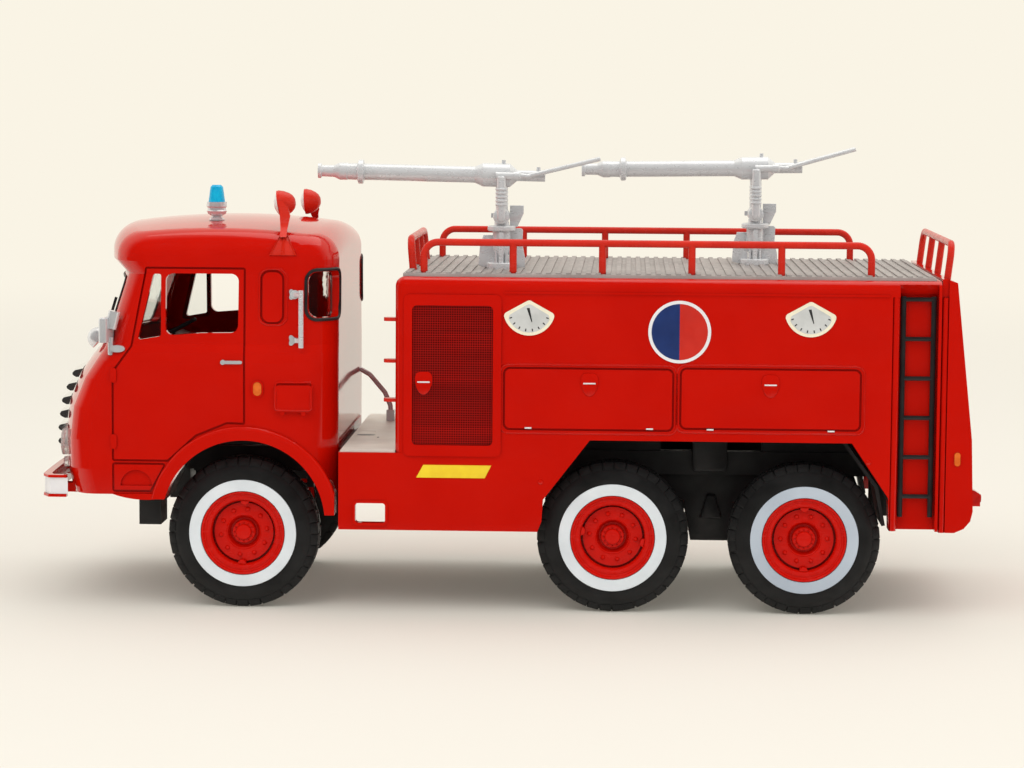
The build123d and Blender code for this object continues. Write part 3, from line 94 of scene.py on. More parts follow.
# each input is given as a number, a colour or the socket that feeds it
def setInputs(tree, node, inputs):
    for key, value in inputs.items():
        socket = node.inputs[key]
        if isinstance(value, bpy.types.NodeSocket):
            tree.links.new(value, socket)
        else:
            socket.default_value = (*value, 1) if socket.type == "RGBA" else value


def addNode(tree, kind, inputs=None, **settings):
    node = tree.nodes.new(kind)
    for key, value in settings.items():
        setattr(node, key, value)
    setInputs(tree, node, inputs or {})
    return node


def doMath(tree, operation, first, second):
    return addNode(tree, "ShaderNodeMath", {0: first, 1: second}, operation=operation).outputs[0]


def mixColour(tree, factor, first, second):
    return addNode(tree, "ShaderNodeMix", {0: factor, 6: first, 7: second}, data_type="RGBA").outputs[2]


def mixShaders(tree, factor, first, second):
    return addNode(tree, "ShaderNodeMixShader", {0: factor, 1: first, 2: second}).outputs[0]


def spread(tree, value, low, high, fromLow=0.35, fromHigh=0.65, kind="LINEAR"):
    ends = {"Value": value, "From Min": fromLow, "From Max": fromHigh, "To Min": low, "To Max": high}
    return addNode(tree, "ShaderNodeMapRange", ends, interpolation_type=kind).outputs[0]


def noiseOf(tree, place, scale, detail=3.0, stretch=(1, 1, 1)):
    mapped = addNode(tree, "ShaderNodeMapping", {"Vector": place, "Scale": stretch}).outputs[0]
    noise = addNode(tree, "ShaderNodeTexNoise", {"Vector": mapped, "Scale": scale, "Detail": detail})
    return noise.outputs["Fac"]


def lightPath(tree, ray):
    return addNode(tree, "ShaderNodeLightPath").outputs["Is " + ray + " Ray"]


def raysThatSee(tree):
    cameraOrGloss = doMath(tree, "MAXIMUM", lightPath(tree, "Camera"), lightPath(tree, "Glossy"))
    return doMath(tree, "MAXIMUM", cameraOrGloss, lightPath(tree, "Transmission"))


# the backdrop is pale; only reflections show the dim room on the near side
worldLook = {"colour": (1.0, 0.99, 0.965), "strength": 0.98, "backdrop": (0.956, 0.905, 0.785),
             "room": (0.045, 0.042, 0.038), "roomEnds": (-0.35, 0.25)}


def makeWorld(look):
    world = bpy.data.worlds.new("studio")
    bpy.context.scene.world = world
    world.use_nodes = True
    tree = world.node_tree
    tree.nodes.clear()
    generated = addNode(tree, "ShaderNodeTexCoord").outputs["Generated"]
    direction = addNode(tree, "ShaderNodeSeparateXYZ", {0: generated})
    towardsBack = spread(tree, direction.outputs["Y"], 0, 1, *look["roomEnds"], "SMOOTHSTEP")
    paleness = doMath(tree, "MAXIMUM", towardsBack, lightPath(tree, "Camera"))
    shownColour = mixColour(tree, paleness, look["room"], look["backdrop"])
    lights = {"Color": look["colour"], "Strength": look["strength"]}, {"Color": shownColour}
    soft, shown = (addNode(tree, "ShaderNodeBackground", light).outputs[0] for light in lights)
    surface = mixShaders(tree, raysThatSee(tree), soft, shown)
    addNode(tree, "ShaderNodeOutputWorld", {"Surface": surface})


makeWorld(worldLook)
print("camera, lamps and world made")

# Each look: colour and shade vary slowly by patch; roughness varies by smear; grain is the bump.
# Scales are in patterns per metre, depths in microns; a coat has a weight and a roughness.
# What a look leaves out is as in plainLook.
plainLook = {"patch": 300, "rough": (0.3, 0.4), "smear": 500, "grain": 3000, "depth": 2, "stretch": (1, 1, 1),
             "metal": 0.0, "shine": 0.5, "bend": 1.46, "coat": (0.0, 0.03), "clear": 0.0}
looks = {
    # the third, darker colour of redPaint, redPlastic and railRed is painted shade for their grooves and
    # corners
    "redPaint": {"colour": (0.535, 0.0056, 0.0012), "shade": (0.505, 0.0046, 0.0009),
        "creaseShade": (0.27, 0.0016, 0.0005), "patch": 90, "rough": (0.05, 0.08), "smear": 160, "grain": 900,
        "shine": 0.42, "bend": 1.6},
    "redPlastic": {"colour": (0.58, 0.0056, 0.0014), "shade": (0.53, 0.0046, 0.001),
        "creaseShade": (0.22, 0.0012, 0.0004), "patch": 220, "rough": (0.2, 0.3), "smear": 400, "grain": 1800,
        "depth": 5, "shine": 0.2},
    "railRed": {"colour": (0.6, 0.022, 0.0095), "shade": (0.55, 0.018, 0.008), "creaseShade": (0.3, 0.006, 0.003),
        "patch": 220, "rough": (0.2, 0.3), "smear": 400, "grain": 1800, "depth": 4, "shine": 0.3},
    # the vent mesh's holes are dark dots of painted shade over the real hole pattern
    "ventMesh": {"colour": (0.36, 0.0034, 0.001), "shade": (0.24, 0.0024, 0.0008),
        "holeShade": (0.035, 0.0012, 0.0012), "patch": 420, "stretch": (0.05, 0.05, 1), "smear": 400,
        "grain": 1800, "depth": 5, "shine": 0.1},
    "darkRed": {"colour": (0.2, 0.0075, 0.006), "shade": (0.16, 0.006, 0.005), "patch": 200,
        "rough": (0.42, 0.55), "grain": 2500, "depth": 10},
    "blackPlastic": {"colour": (0.012, 0.012, 0.013), "shade": (0.02, 0.02, 0.021), "rough": (0.38, 0.52),
        "depth": 10},
    "deckGrey": {"colour": (0.4, 0.36, 0.34), "shade": (0.33, 0.3, 0.285), "patch": 160,
        "rough": (0.42, 0.55), "smear": 400, "grain": 2500, "depth": 10},
    "silver": {"colour": (0.77, 0.78, 0.795), "shade": (0.72, 0.73, 0.745), "patch": 260,
        "rough": (0.26, 0.32), "smear": 600, "grain": 6000, "depth": 3, "metal": 0.36, "shine": 0.4},
    "trimSilver": {"colour": (0.8, 0.81, 0.83), "shade": (0.72, 0.73, 0.75), "patch": 400,
        "rough": (0.14, 0.22), "smear": 900, "grain": 5000, "depth": 4, "metal": 0.5},
    "stepSilver": {"colour": (0.86, 0.84, 0.76), "shade": (0.78, 0.76, 0.69), "patch": 180,
        "rough": (0.35, 0.5), "smear": 400, "grain": 4000, "depth": 8, "metal": 0.3},
    "chrome": {"colour": (0.78, 0.78, 0.78), "shade": (0.7, 0.7, 0.71), "patch": 500,
        "rough": (0.07, 0.14), "smear": 900, "grain": 4000, "depth": 3, "metal": 1.0},
    # this finish is the axles' steel, and also the painted highlights along the frame rails' edges
    "steelAndHighlight": {"colour": (0.5, 0.48, 0.46), "shade": (0.4, 0.385, 0.37), "patch": 500,
        "rough": (0.26, 0.36), "smear": 900, "grain": 5000, "depth": 4, "metal": 0.6},
    "whitePrint": {"colour": (0.8, 0.79, 0.8), "shade": (0.75, 0.74, 0.76), "depth": 3,
        "coat": (0.3, 0.1)},
    "whiteRubber": {"colour": (0.73, 0.78, 0.82), "shade": (0.66, 0.71, 0.75), "patch": 180,
        "rough": (0.4, 0.52), "smear": 400, "grain": 2500, "depth": 5},
    # a darker copy of the white rubber for the rear whitewalls: painted shade
    "shadedWhiteRubber": {"colour": (0.52, 0.59, 0.67), "shade": (0.4, 0.46, 0.54), "patch": 60,
        "rough": (0.42, 0.55), "smear": 400, "grain": 2500, "depth": 5},
    "amber": {"colour": (0.75, 0.16, 0.02), "shade": (0.62, 0.1, 0.01), "patch": 900, "rough": (0.12, 0.2),
        "smear": 900, "grain": 5000, "depth": 10, "coat": (0.6, 0.04)},
    "tyreBlack": {"colour": (0.0085, 0.0085, 0.0088), "shade": (0.014, 0.014, 0.0145), "patch": 250,
        "rough": (0.42, 0.6), "smear": 350, "grain": 2200, "depth": 20, "shine": 0.3},
    "clearGlass": {"colour": (0.96, 0.97, 0.96), "shade": (0.92, 0.94, 0.92), "patch": 120,
        "rough": (0.01, 0.04), "smear": 200, "grain": 500, "clear": 1.0},
    "lampGlass": {"colour": (0.95, 0.95, 0.93), "shade": (0.85, 0.86, 0.85), "patch": 1200,
        "rough": (0.04, 0.1), "smear": 900, "grain": 3500, "depth": 30, "clear": 0.75},
    "lampWhite": {"colour": (0.8, 0.78, 0.74), "shade": (0.7, 0.68, 0.65), "patch": 900,
        "rough": (0.06, 0.14), "smear": 900, "grain": 3500, "depth": 10, "coat": (0.6, 0.03)},
    "blueLens": {"colour": (0.012, 0.56, 0.88), "shade": (0.008, 0.44, 0.78), "patch": 900,
        "rough": (0.05, 0.12), "smear": 900, "depth": 20, "clear": 0.2},
    "printBlue": {"colour": (0.012, 0.035, 0.16), "shade": (0.01, 0.028, 0.13), "rough": (0.28, 0.36),
        "coat": (0.3, 0.1)},
    "printRed": {"colour": (0.6, 0.018, 0.006), "shade": (0.54, 0.014, 0.005), "rough": (0.28, 0.36),
        "coat": (0.3, 0.1)},
    "printGrey": {"colour": (0.6, 0.61, 0.6), "shade": (0.52, 0.53, 0.52), "patch": 400},
    # this black is print on the dials and painted shade in the step plate's slots
    "printAndShadeBlack": {"colour": (0.015, 0.015, 0.016), "shade": (0.03, 0.03, 0.03), "patch": 900,
        "rough": (0.35, 0.45), "smear": 900, "grain": 4000},
    "printYellow": {"colour": (0.9, 0.66, 0.02), "shade": (0.84, 0.58, 0.015), "patch": 400,
        "rough": (0.28, 0.36), "coat": (0.3, 0.1)},
    "creamPrint": {"colour": (0.86, 0.8, 0.62), "shade": (0.82, 0.76, 0.58), "patch": 400},
    "blackRubber": {"colour": (0.014, 0.014, 0.015), "shade": (0.022, 0.022, 0.023), "patch": 600,
        "rough": (0.35, 0.5), "smear": 900, "grain": 4000, "depth": 5},
    "redLens": {"colour": (0.6, 0.012, 0.008), "shade": (0.48, 0.009, 0.006), "patch": 900,
        "rough": (0.1, 0.18), "smear": 900, "grain": 4000, "depth": 10, "coat": (0.5, 0.04)},
}


# painted shade: grooves and corners are darkened where ambient occlusion finds surfaces close by
def creaseShadeFactor(tree):
    nearby = addNode(tree, "ShaderNodeAmbientOcclusion", {"Distance": 0.0006}, samples=16)
    return spread(tree, nearby.outputs["AO"], 1.0, 0.0, 0.30, 0.72)


# rows of small punched holes, each painted dark: painted shade for what shows through them
def holeShadeFactor(tree, place):
    parts = addNode(tree, "ShaderNodeSeparateXYZ", {0: place}).outputs
    flat = addNode(tree, "ShaderNodeCombineXYZ", {"X": parts["X"], "Y": parts["Z"]}).outputs[0]
    cells = addNode(tree, "ShaderNodeTexVoronoi", {"Vector": flat, "Scale": 2500, "Randomness": 0.0},
                    voronoi_dimensions="2D", feature="F1")
    return spread(tree, cells.outputs["Distance"], 1.0, 0.0, 0.28, 0.42)


def newMaterial(name):
    material = bpy.data.materials.new(name)
    material.use_nodes = True
    tree = material.node_tree
    return material, tree, addNode(tree, "ShaderNodeTexCoord").outputs["Object"]


def makeFinish(name):
    look = {**plainLook, **looks[name]}
    material, tree, place = newMaterial(name)
    patches = noiseOf(tree, place, look["patch"], 3.0, look["stretch"])
    smears = noiseOf(tree, place, look["smear"], 4.0, (1, 1, 2.5))
    grains = noiseOf(tree, place, look["grain"], 2.0)
    colour = mixColour(tree, spread(tree, patches, 0, 1), look["colour"], look["shade"])
    # darken grooves and corners: painted shade
    if "creaseShade" in look:
        colour = mixColour(tree, creaseShadeFactor(tree), colour, look["creaseShade"])
    # dark dots for the vent's holes: painted shade
    if "holeShade" in look:
        colour = mixColour(tree, holeShadeFactor(tree, place), colour, look["holeShade"])
    depth = look["depth"] * micron
    bump = addNode(tree, "ShaderNodeBump", {"Height": grains, "Strength": 1.0, "Distance": depth})
    coat, coatRough = look["coat"]
    setInputs(tree, tree.nodes["Principled BSDF"], {
        "Base Color": colour, "Roughness": spread(tree, smears, *look["rough"]), "Normal": bump.outputs[0],
        "Metallic": look["metal"], "Specular IOR Level": look["shine"], "IOR": look["bend"],
        "Transmission Weight": look["clear"], "Coat Weight": coat, "Coat Roughness": coatRough})
    return material


finishes = {name: makeFinish(name) for name in looks}
nodeFinish = {
    "redPaint": ("cab_shell", "body_shell", "rear_panel", "front_bumper"),
    "railRed": ("handrail_left", "handrail_right", "front_rail", "rear_rail", "body_steps", "roof_lamps"),
    "redPlastic": ("front_rims", "middle_rims", "rear_rims"),
    "ventMesh": ("vent_grilles",),
    "darkRed": ("cab_interior",),
    "blackPlastic": ("ladder_left", "ladder_right", "chassis_frame", "suspension", "driveline", "mudguards",
                     "body_floor", "wipers", "steering_wheel"),
    "deckGrey": ("deck_plate",),
    "silver": ("front_cannon_barrel", "front_cannon_stand", "rear_cannon_barrel", "rear_cannon_stand",
               "grab_handles"),
    "stepSilver": ("step_plate",),
    "chrome": ("front_grille",),
    "trimSilver": ("mirrors", "nose_lamp", "door_handles", "beacon_base", "intake_pipe"),
    "steelAndHighlight": ("front_axle", "middle_axle", "rear_axle"),
    "creamPrint": ("side_dials",),
    "whitePrint": ("side_roundels",),
    "whiteRubber": ("front_whitewalls", "middle_whitewalls"),
    "shadedWhiteRubber": ("rear_whitewalls",),
    "amber": ("side_markers",),
    "tyreBlack": ("front_tyres", "middle_tyres", "rear_tyres"),
    "clearGlass": ("windscreen", "side_windows"),
    "lampGlass": ("headlamps",),
    "blueLens": ("beacon_lens",),
    "redLens": ("rear_lamps",),
}
for finishName, nodeNames in nodeFinish.items():
    for nodeName in nodeNames:
        slotsOfNode = nodes[nodeName].data.materials
        slotsOfNode.clear()
        slotsOfNode.append(finishes[finishName])
print("finishes made and set")

# floor that rises into the backdrop; far off it turns into the backdrop's own colour
floorSizes = {"front": -0.30, "back": 2.2, "half": 2.5, "rise": 2.0, "round": 0.9, "steps": 16}
floorLook = {"colour": (0.70, 0.675, 0.62), "shade": (0.68, 0.655, 0.60), "glow": (0.10, 0.094, 0.078),
             "patch": 6.0, "rough": 0.8, "shine": 0.15,
             "fadeFrom": 0.12, "fadeTo": 0.85, "nearFrom": -0.14, "nearTo": -0.03}


def makeFloor(sizes):
    line = [(sizes["front"], 0.0), (sizes["back"] - sizes["round"], 0.0)]
    for n in range(1, sizes["steps"] + 1):
        angle = math.pi / 2 * n / sizes["steps"]
        line.append((sizes["back"] - sizes["round"] + sizes["round"] * math.sin(angle),
                     sizes["round"] * (1 - math.cos(angle))))
    line.append((sizes["back"], sizes["rise"]))
    verts = [(side * sizes["half"], y, z) for y, z in line for side in (-1, 1)]
    faces = [(2 * n, 2 * n + 1, 2 * n + 3, 2 * n + 2) for n in range(len(line) - 1)]
    mesh = bpy.data.meshes.new("floor")
    mesh.from_pydata(verts, [], faces)
    mesh.polygons.foreach_set("use_smooth", [True] * len(faces))
    floor = bpy.data.objects.new("floor", mesh)
    bpy.context.scene.collection.objects.link(floor)
    return floor


def glowOf(tree, colour):
    return addNode(tree, "ShaderNodeEmission", {"Color": colour}).outputs[0]


def makeFloorCard(look):
    material, tree, place = newMaterial("floorCard")
    card = tree.nodes["Principled BSDF"]
    colour = mixColour(tree, noiseOf(tree, place, look["patch"]), look["colour"], look["shade"])
    setInputs(tree, card, {
        "Base Color": colour, "Roughness": look["rough"], "Specular IOR Level": look["shine"],
        "Emission Color": look["glow"], "Emission Strength": 1.0})
    depth = addNode(tree, "ShaderNodeSeparateXYZ", {0: place}).outputs["Y"]
    fade = spread(tree, depth, 0.0, 1.0, look["fadeFrom"], look["fadeTo"], "SMOOTHSTEP")
    faded = mixShaders(tree, doMath(tree, "MULTIPLY", fade, raysThatSee(tree)), card.outputs[0],
                       glowOf(tree, worldLook["backdrop"]))
    # reflections don't show the floor on the near side, where the room is dim
    near = spread(tree, depth, 1.0, 0.0, look["nearFrom"], look["nearTo"], "SMOOTHSTEP")
    dimmed = mixShaders(tree, doMath(tree, "MULTIPLY", near, lightPath(tree, "Glossy")), faded,
                        glowOf(tree, worldLook["room"]))
    setInputs(tree, tree.nodes["Material Output"], {"Surface": dimmed})
    return material


makeFloor(floorSizes).data.materials.append(makeFloorCard(floorLook))
print("floor made")


def makeObject(name, mesh, finish, body):
    mesh.polygons.foreach_set("use_smooth", [True] * len(mesh.polygons))
    mesh.materials.clear()
    mesh.materials.append(finishes[finish])
    made = bpy.data.objects.new(name, mesh)
    bpy.context.scene.collection.objects.link(made)
    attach(made, body)
    return made


# every mesh is made in mm, then put in its place in metres
def meshFrom(name, build):
    work = bmesh.new()
    build(work)
    bmesh.ops.remove_doubles(work, verts=work.verts, dist=0.0005)
    bmesh.ops.recalc_face_normals(work, faces=work.faces)
    mesh = bpy.data.meshes.new(name)
    work.to_mesh(mesh)
    work.free()
    return mesh


def placed(mesh, x=0.0, y=0.0, z=0.0):
    copy = mesh.copy()
    copy.transform(Matrix.Diagonal((mm, mm, mm, 1)) @ Matrix.Translation((x, y, z)))
    return copy


def mirrored(mesh):
    copy = mesh.copy()
    copy.transform(Matrix.Diagonal((1, -1, 1, 1)))
    copy.flip_normals()
    return copy


def joined(name, meshes):
    work = bmesh.new()
    for mesh in meshes:
        work.from_mesh(mesh)
    result = bpy.data.meshes.new(name)
    work.to_mesh(result)
    work.free()
    return result


def onBothSides(name, meshes):
    return joined(name, meshes + [mirrored(mesh) for mesh in meshes])


def sharpen(mesh, degrees):
    work = bmesh.new()
    work.from_mesh(mesh)
    for edge in work.edges:
        if len(edge.link_faces) == 2:
            edge.smooth = edge.calc_face_angle(0.0) < math.radians(degrees)
    work.to_mesh(mesh)
    work.free()


def makePiece(name, builds, finish, sharpAngle=40, twoSided=True):
    meshes = [placed(meshFrom(name, build)) for build in builds]
    mesh = onBothSides(name, meshes) if twoSided else joined(name, meshes)
    sharpen(mesh, sharpAngle)
    return makeObject(name, mesh, finish, "truck")


# Quads between rows of points. The points of a row may close on themselves, and so may the rows.
def bridge(work, rows, closedRow=True, closedRows=False):
    for first, second in zip(rows, rows[1:] + (rows[:1] if closedRows else [])):
        for n in range(len(first) if closedRow else len(first) - 1):
            following = (n + 1) % len(first)
            work.faces.new((first[n], first[following], second[following], second[n]))


def closeEnds(work, rows):
    work.faces.new(rows[-1])
    work.faces.new(list(reversed(rows[0])))


# Adds a shape, then moves it by the matrix.
def addMoved(work, matrix, add, *values):
    start = len(work.verts)
    add(work, *values)
    work.verts.ensure_lookup_table()
    bmesh.ops.transform(work, matrix=matrix, verts=work.verts[start:])


def circlePoints(count, wide, deep=None):
    deep = wide if deep is None else deep
    return [(wide * math.cos(2 * math.pi * n / count), deep * math.sin(2 * math.pi * n / count))
            for n in range(count)]


# A turned ring or disc about Y. outline holds (radius, distance along Y), outer face first.
def addTurned(work, outline, segments, closed=True):
    loops = []
    for radius, along in outline:
        if radius < 0.001:
            loops.append([work.verts.new((0, along, 0))])
        else:
            loops.append([work.verts.new((x, along, z)) for z, x in circlePoints(segments, radius)])
    pairs = list(zip(loops, loops[1:])) + ([(loops[-1], loops[0])] if closed else [])
    for first, second in pairs:
        for n in range(segments):
            corners = [first[n % len(first)], first[(n + 1) % len(first)],
                       second[(n + 1) % len(second)], second[n % len(second)]]
            corners = list(dict.fromkeys(corners))
            if len(corners) > 2:
                work.faces.new(corners)


# A plate with this outline in X and Z, from y = 0 out to -thick, its outer edge rounded by soft.
def addPlate(work, outline, thick, soft=0.0):
    middle = Vector((sum(p[0] for p in outline) / len(outline), sum(p[1] for p in outline) / len(outline)))

    def layer(inset, y):
        points = []
        for corner in outline:
            away = Vector(corner) - middle
            place = middle + away * max(0.0, 1 - inset / max(away.length, 0.001))
            points.append(work.verts.new((place.x, y, place.y)))
        return points

    edges = ((0, soft), (soft * 0.3, soft * 0.3), (soft, 0.0)) if soft else ((0, 0.0),)
    layers = [layer(0, 0)] + [layer(inset, down - thick) for inset, down in edges]
    bridge(work, layers)
    closeEnds(work, layers)


# A plate that lies between two distances from the middle plane.
def addLayer(work, outline, spanY, soft=0.0):
    addMoved(work, Matrix.Translation((0, -spanY[0], 0)), addPlate, outline, spanY[1] - spanY[0], soft)


def arcPoints(x, z, radius, start, end, steps):
    angles = [math.radians(start + (end - start) * n / steps) for n in range(steps + 1)]
    return [(x + radius * math.cos(angle), z + radius * math.sin(angle)) for angle in angles]


def roundedOutline(halfWide, halfHigh, corner, steps=5):
    points = []
    wide, high = halfWide - corner, halfHigh - corner
    for x, z, start in ((wide, high, 0), (-wide, high, 90), (-wide, -high, 180), (wide, -high, 270)):
        points += arcPoints(x, z, corner, start, start + 90, steps)
    return points


def rectangle(halfWide, halfHigh):
    return [(-halfWide, -halfHigh), (halfWide, -halfHigh), (halfWide, halfHigh), (-halfWide, halfHigh)]


def moved(outline, x, z):
    return [(px + x, pz + z) for px, pz in outline]


def denseLine(outline, step):
    points = []
    for (x0, z0), (x1, z1) in zip(outline, outline[1:] + outline[:1]):
        pieces = max(1, round(math.hypot(x1 - x0, z1 - z0) / step))
        points += [(x0 + (x1 - x0) * n / pieces, z0 + (z1 - z0) * n / pieces) for n in range(pieces)]
    return points


# A tree that sets count copies of a mesh round the Y axis.
def ringTree(finish):
    tree = bpy.data.node_groups.new("ringOf" + finish, "GeometryNodeTree")
    tree.is_modifier = True
    for name, kind in (("Piece", "Geometry"), ("Count", "Int"), ("First Angle", "Float"),
                       ("Unevenness", "Float"), ("Seed", "Int")):
        tree.interface.new_socket(name, in_out="INPUT", socket_type="NodeSocket" + kind)
    tree.interface.new_socket("Ring", in_out="OUTPUT", socket_type="NodeSocketGeometry")
    given = addNode(tree, "NodeGroupInput").outputs
    points = addNode(tree, "GeometryNodePoints", {"Count": given["Count"]})
    share = doMath(tree, "DIVIDE", addNode(tree, "GeometryNodeInputIndex").outputs[0], given["Count"])
    even = doMath(tree, "ADD", doMath(tree, "MULTIPLY", share, 2 * math.pi), given["First Angle"])
    downTo = doMath(tree, "MULTIPLY", given["Unevenness"], -1.0)
    jitter = addNode(tree, "FunctionNodeRandomValue",
                     {2: downTo, 3: given["Unevenness"], "Seed": given["Seed"]}, data_type="FLOAT")
    angles = addNode(tree, "ShaderNodeCombineXYZ", {"Y": doMath(tree, "ADD", even, jitter.outputs[1])})
    copies = addNode(tree, "GeometryNodeInstanceOnPoints",
                     {"Points": points.outputs[0], "Instance": given["Piece"], "Rotation": angles.outputs[0]})
    real = addNode(tree, "GeometryNodeRealizeInstances", {0: copies.outputs[0]}).outputs[0]
    paint = addNode(tree, "GeometryNodeSetMaterial", {"Geometry": real, "Material": finishes[finish]})
    addNode(tree, "NodeGroupOutput", {"Ring": paint.outputs[0]})
    return tree


ringTrees = {}


def ringOf(mesh, finish, count, firstAngle=0.0, unevenness=0.0, seed=1):
    if finish not in ringTrees:
        ringTrees[finish] = ringTree(finish)
    tree = ringTrees[finish]
    maker = bpy.data.objects.new("ringMaker", mesh)
    bpy.context.scene.collection.objects.link(maker)
    modifier = maker.modifiers.new("ring", "NODES")
    modifier.node_group = tree
    values = {"Count": count, "First Angle": firstAngle, "Unevenness": unevenness, "Seed": seed}
    for item in tree.interface.items_tree:
        if item.in_out == "INPUT" and item.name in values:
            modifier[item.identifier] = values[item.name]
    depsgraph = bpy.context.evaluated_depsgraph_get()
    result = bpy.data.meshes.new_from_object(maker.evaluated_get(depsgraph), depsgraph=depsgraph)
    maker.modifiers.remove(modifier)
    bpy.data.objects.remove(maker)
    return result


# wheels
wheelSizes = {"height": 13.0, "face": 26.9, "wide": 7.2, "segments": 112}
# the rear whitewalls take the darker copy of the white rubber: painted shade
wheels = {"front": {"x": -46.1, "whitewall": "whiteRubber", "turn": 0.17, "tongueTurn": 0.05},
          "middle": {"x": 17.4, "whitewall": "whiteRubber", "turn": 0.42, "tongueTurn": 1.75},
          "rear": {"x": 50.1, "whitewall": "shadedWhiteRubber", "turn": 0.30, "tongueTurn": 0.0}}
tyreProfile = ((7.62, 0.42), (9.26, 0.42), (9.3, 0.04), (9.6, 0.0), (10.5, 0.06), (11.2, 0.3), (11.85, 0.8),
               (12.4, 1.25), (12.76, 2.0), (12.76, 5.2), (12.4, 5.95), (11.85, 6.4), (11.2, 6.9),
               (10.5, 7.12), (9.2, 7.1), (7.62, 6.8))
whitewallProfile = ((7.28, 0.36), (9.22, 0.36), (9.22, 0.04), (9.16, 0.0), (7.34, 0.0), (7.28, 0.05))
rimProfile = ((7.24, 6.55), (7.24, 0.24), (7.16, 0.1), (6.98, 0.08), (6.82, 0.16), (6.7, 0.4), (6.42, 0.5),
              (6.3, 0.42), (6.14, 0.4), (5.9, 0.46), (5.66, 0.62), (5.5, 0.9), (5.44, 2.5), (5.16, 2.5),
              (5.1, 1.98), (3.1, 1.93), (2.96, 1.84), (2.8, 1.95), (2.52, 2.75), (2.35, 2.9), (2.02, 2.9),
              (1.97, 2.0), (1.88, 1.72), (1.36, 1.7), (1.3, 1.36), (1.2, 1.24), (0.9, 1.18),
              (0, 1.18), (0, 4.2), (5.3, 4.2), (6.6, 6.55))
nutSizes = {"circle": 4.0, "radius": 0.40, "high": 0.42, "count": 10, "face": 1.95}
studSizes = {"circle": 1.66, "radius": 0.14, "high": 0.26, "count": 12, "face": 1.72}
# a lug goes from the sidewall over the shoulder to the middle of the tread: radius, y, half width
lugSizes = {"count": 38, "uneven": 0.012, "soft": 0.12,
            "top": ((11.7, 0.62, 0.744), (12.05, 0.72, 0.8742), (12.5, 0.98, 0.93), (12.86, 1.34, 1.01),
                    (12.95, 1.75, 1.01), (12.95, 3.15, 0.909), (12.2, 3.3, 0.909)),
            "foot": ((11.7, 1.1, 0.93), (11.9, 3.3, 0.909))}


def lugShape(work):
    soft = lugSizes["soft"]
    rows = []
    for radius, y, half in lugSizes["top"]:
        rows.append([work.verts.new(p) for p in ((-half, y, radius - soft), (-half + soft, y, radius),
                                                 (half - soft, y, radius), (half, y, radius - soft))])
    bridge(work, rows, False)
    base, deep = ([work.verts.new((side * half, y, radius)) for side in (-1, 1)]
                  for radius, y, half in lugSizes["foot"])
    work.faces.new([row[0] for row in rows] + [deep[0], base[0]])
    work.faces.new(list(reversed([row[3] for row in rows] + [deep[1], base[1]])))
    work.faces.new([base[0], base[1]] + list(reversed(rows[0])))
    work.faces.new(rows[-1] + [deep[1], deep[0]])
    work.faces.new((base[1], base[0], deep[0], deep[1]))


def domeShape(sizes):
    def build(work):
        radius, high, foot = sizes["radius"], sizes["high"], 0.12
        outline = [(radius * 1.05, foot)]
        for angle in (math.pi / 2 * n / 4 for n in range(4)):
            outline.append((radius * math.cos(angle), -high * math.sin(angle)))
        outline += [(0, -high), (0, foot)]
        addMoved(work, Matrix.Translation((0, sizes["face"], sizes["circle"])), addTurned, outline, 12)
    return build


# two tongues stand in from the edge of the wheel's dish, across from each other
tongueSizes = {"circle": 5.52, "radius": 0.75, "span": (-2.1, -0.8), "soft": 0.15}


def tongueShape(work):
    outline = arcPoints(0, tongueSizes["circle"], tongueSizes["radius"], 180, 360, 10)
    addLayer(work, outline, tongueSizes["span"], tongueSizes["soft"])


def turnedMesh(name, outline):
    return meshFrom(name, lambda work: addTurned(work, outline, wheelSizes["segments"]))


tyreBase = turnedMesh("tyreBase", tyreProfile)
whitewallMesh = turnedMesh("whitewall", whitewallProfile)
rimMesh = turnedMesh("rim", rimProfile)
lugMesh = meshFrom("lug", lugShape)
farLug = mirrored(lugMesh)
farLug.transform(Matrix.Translation((0, wheelSizes["wide"], 0)))
lugTurn = math.pi / lugSizes["count"]
nutMesh = meshFrom("nut", domeShape(nutSizes))
studMesh = meshFrom("stud", domeShape(studSizes))
tongueMesh = meshFrom("tongue", tongueShape)
for wheelName, wheel in wheels.items():
    turn = wheel["turn"]
    tyreMesh = joined("tyre", [
        tyreBase, ringOf(lugMesh, "tyreBlack", lugSizes["count"], turn, lugSizes["uneven"], 3),
        ringOf(farLug, "tyreBlack", lugSizes["count"], turn + lugTurn, lugSizes["uneven"], 5)])
    rimParts = joined("rimParts", [
        rimMesh, ringOf(nutMesh, "redPlastic", nutSizes["count"], turn),
        ringOf(studMesh, "redPlastic", studSizes["count"]),
        ringOf(tongueMesh, "redPlastic", 2, wheel["tongueTurn"])])
    for kind, mesh, finish, slotName in (("tyres", tyreMesh, "tyreBlack", "tyre_rubber"),
                                         ("whitewalls", whitewallMesh, wheel["whitewall"], "white_rubber"),
                                         ("rims", rimParts, "redPlastic", "red_plastic")):
        near = placed(mesh, wheel["x"], -wheelSizes["face"], wheelSizes["height"])
        both = onBothSides(wheelName + kind, [near])
        sharpen(both, 30)
        shownName = wheelName + kind.capitalize() + "Shown"
        made = makeObject(shownName, both, finish, wheelName + "_wheelset")
        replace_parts(made, wheelName + "_" + kind)
print("wheels made")

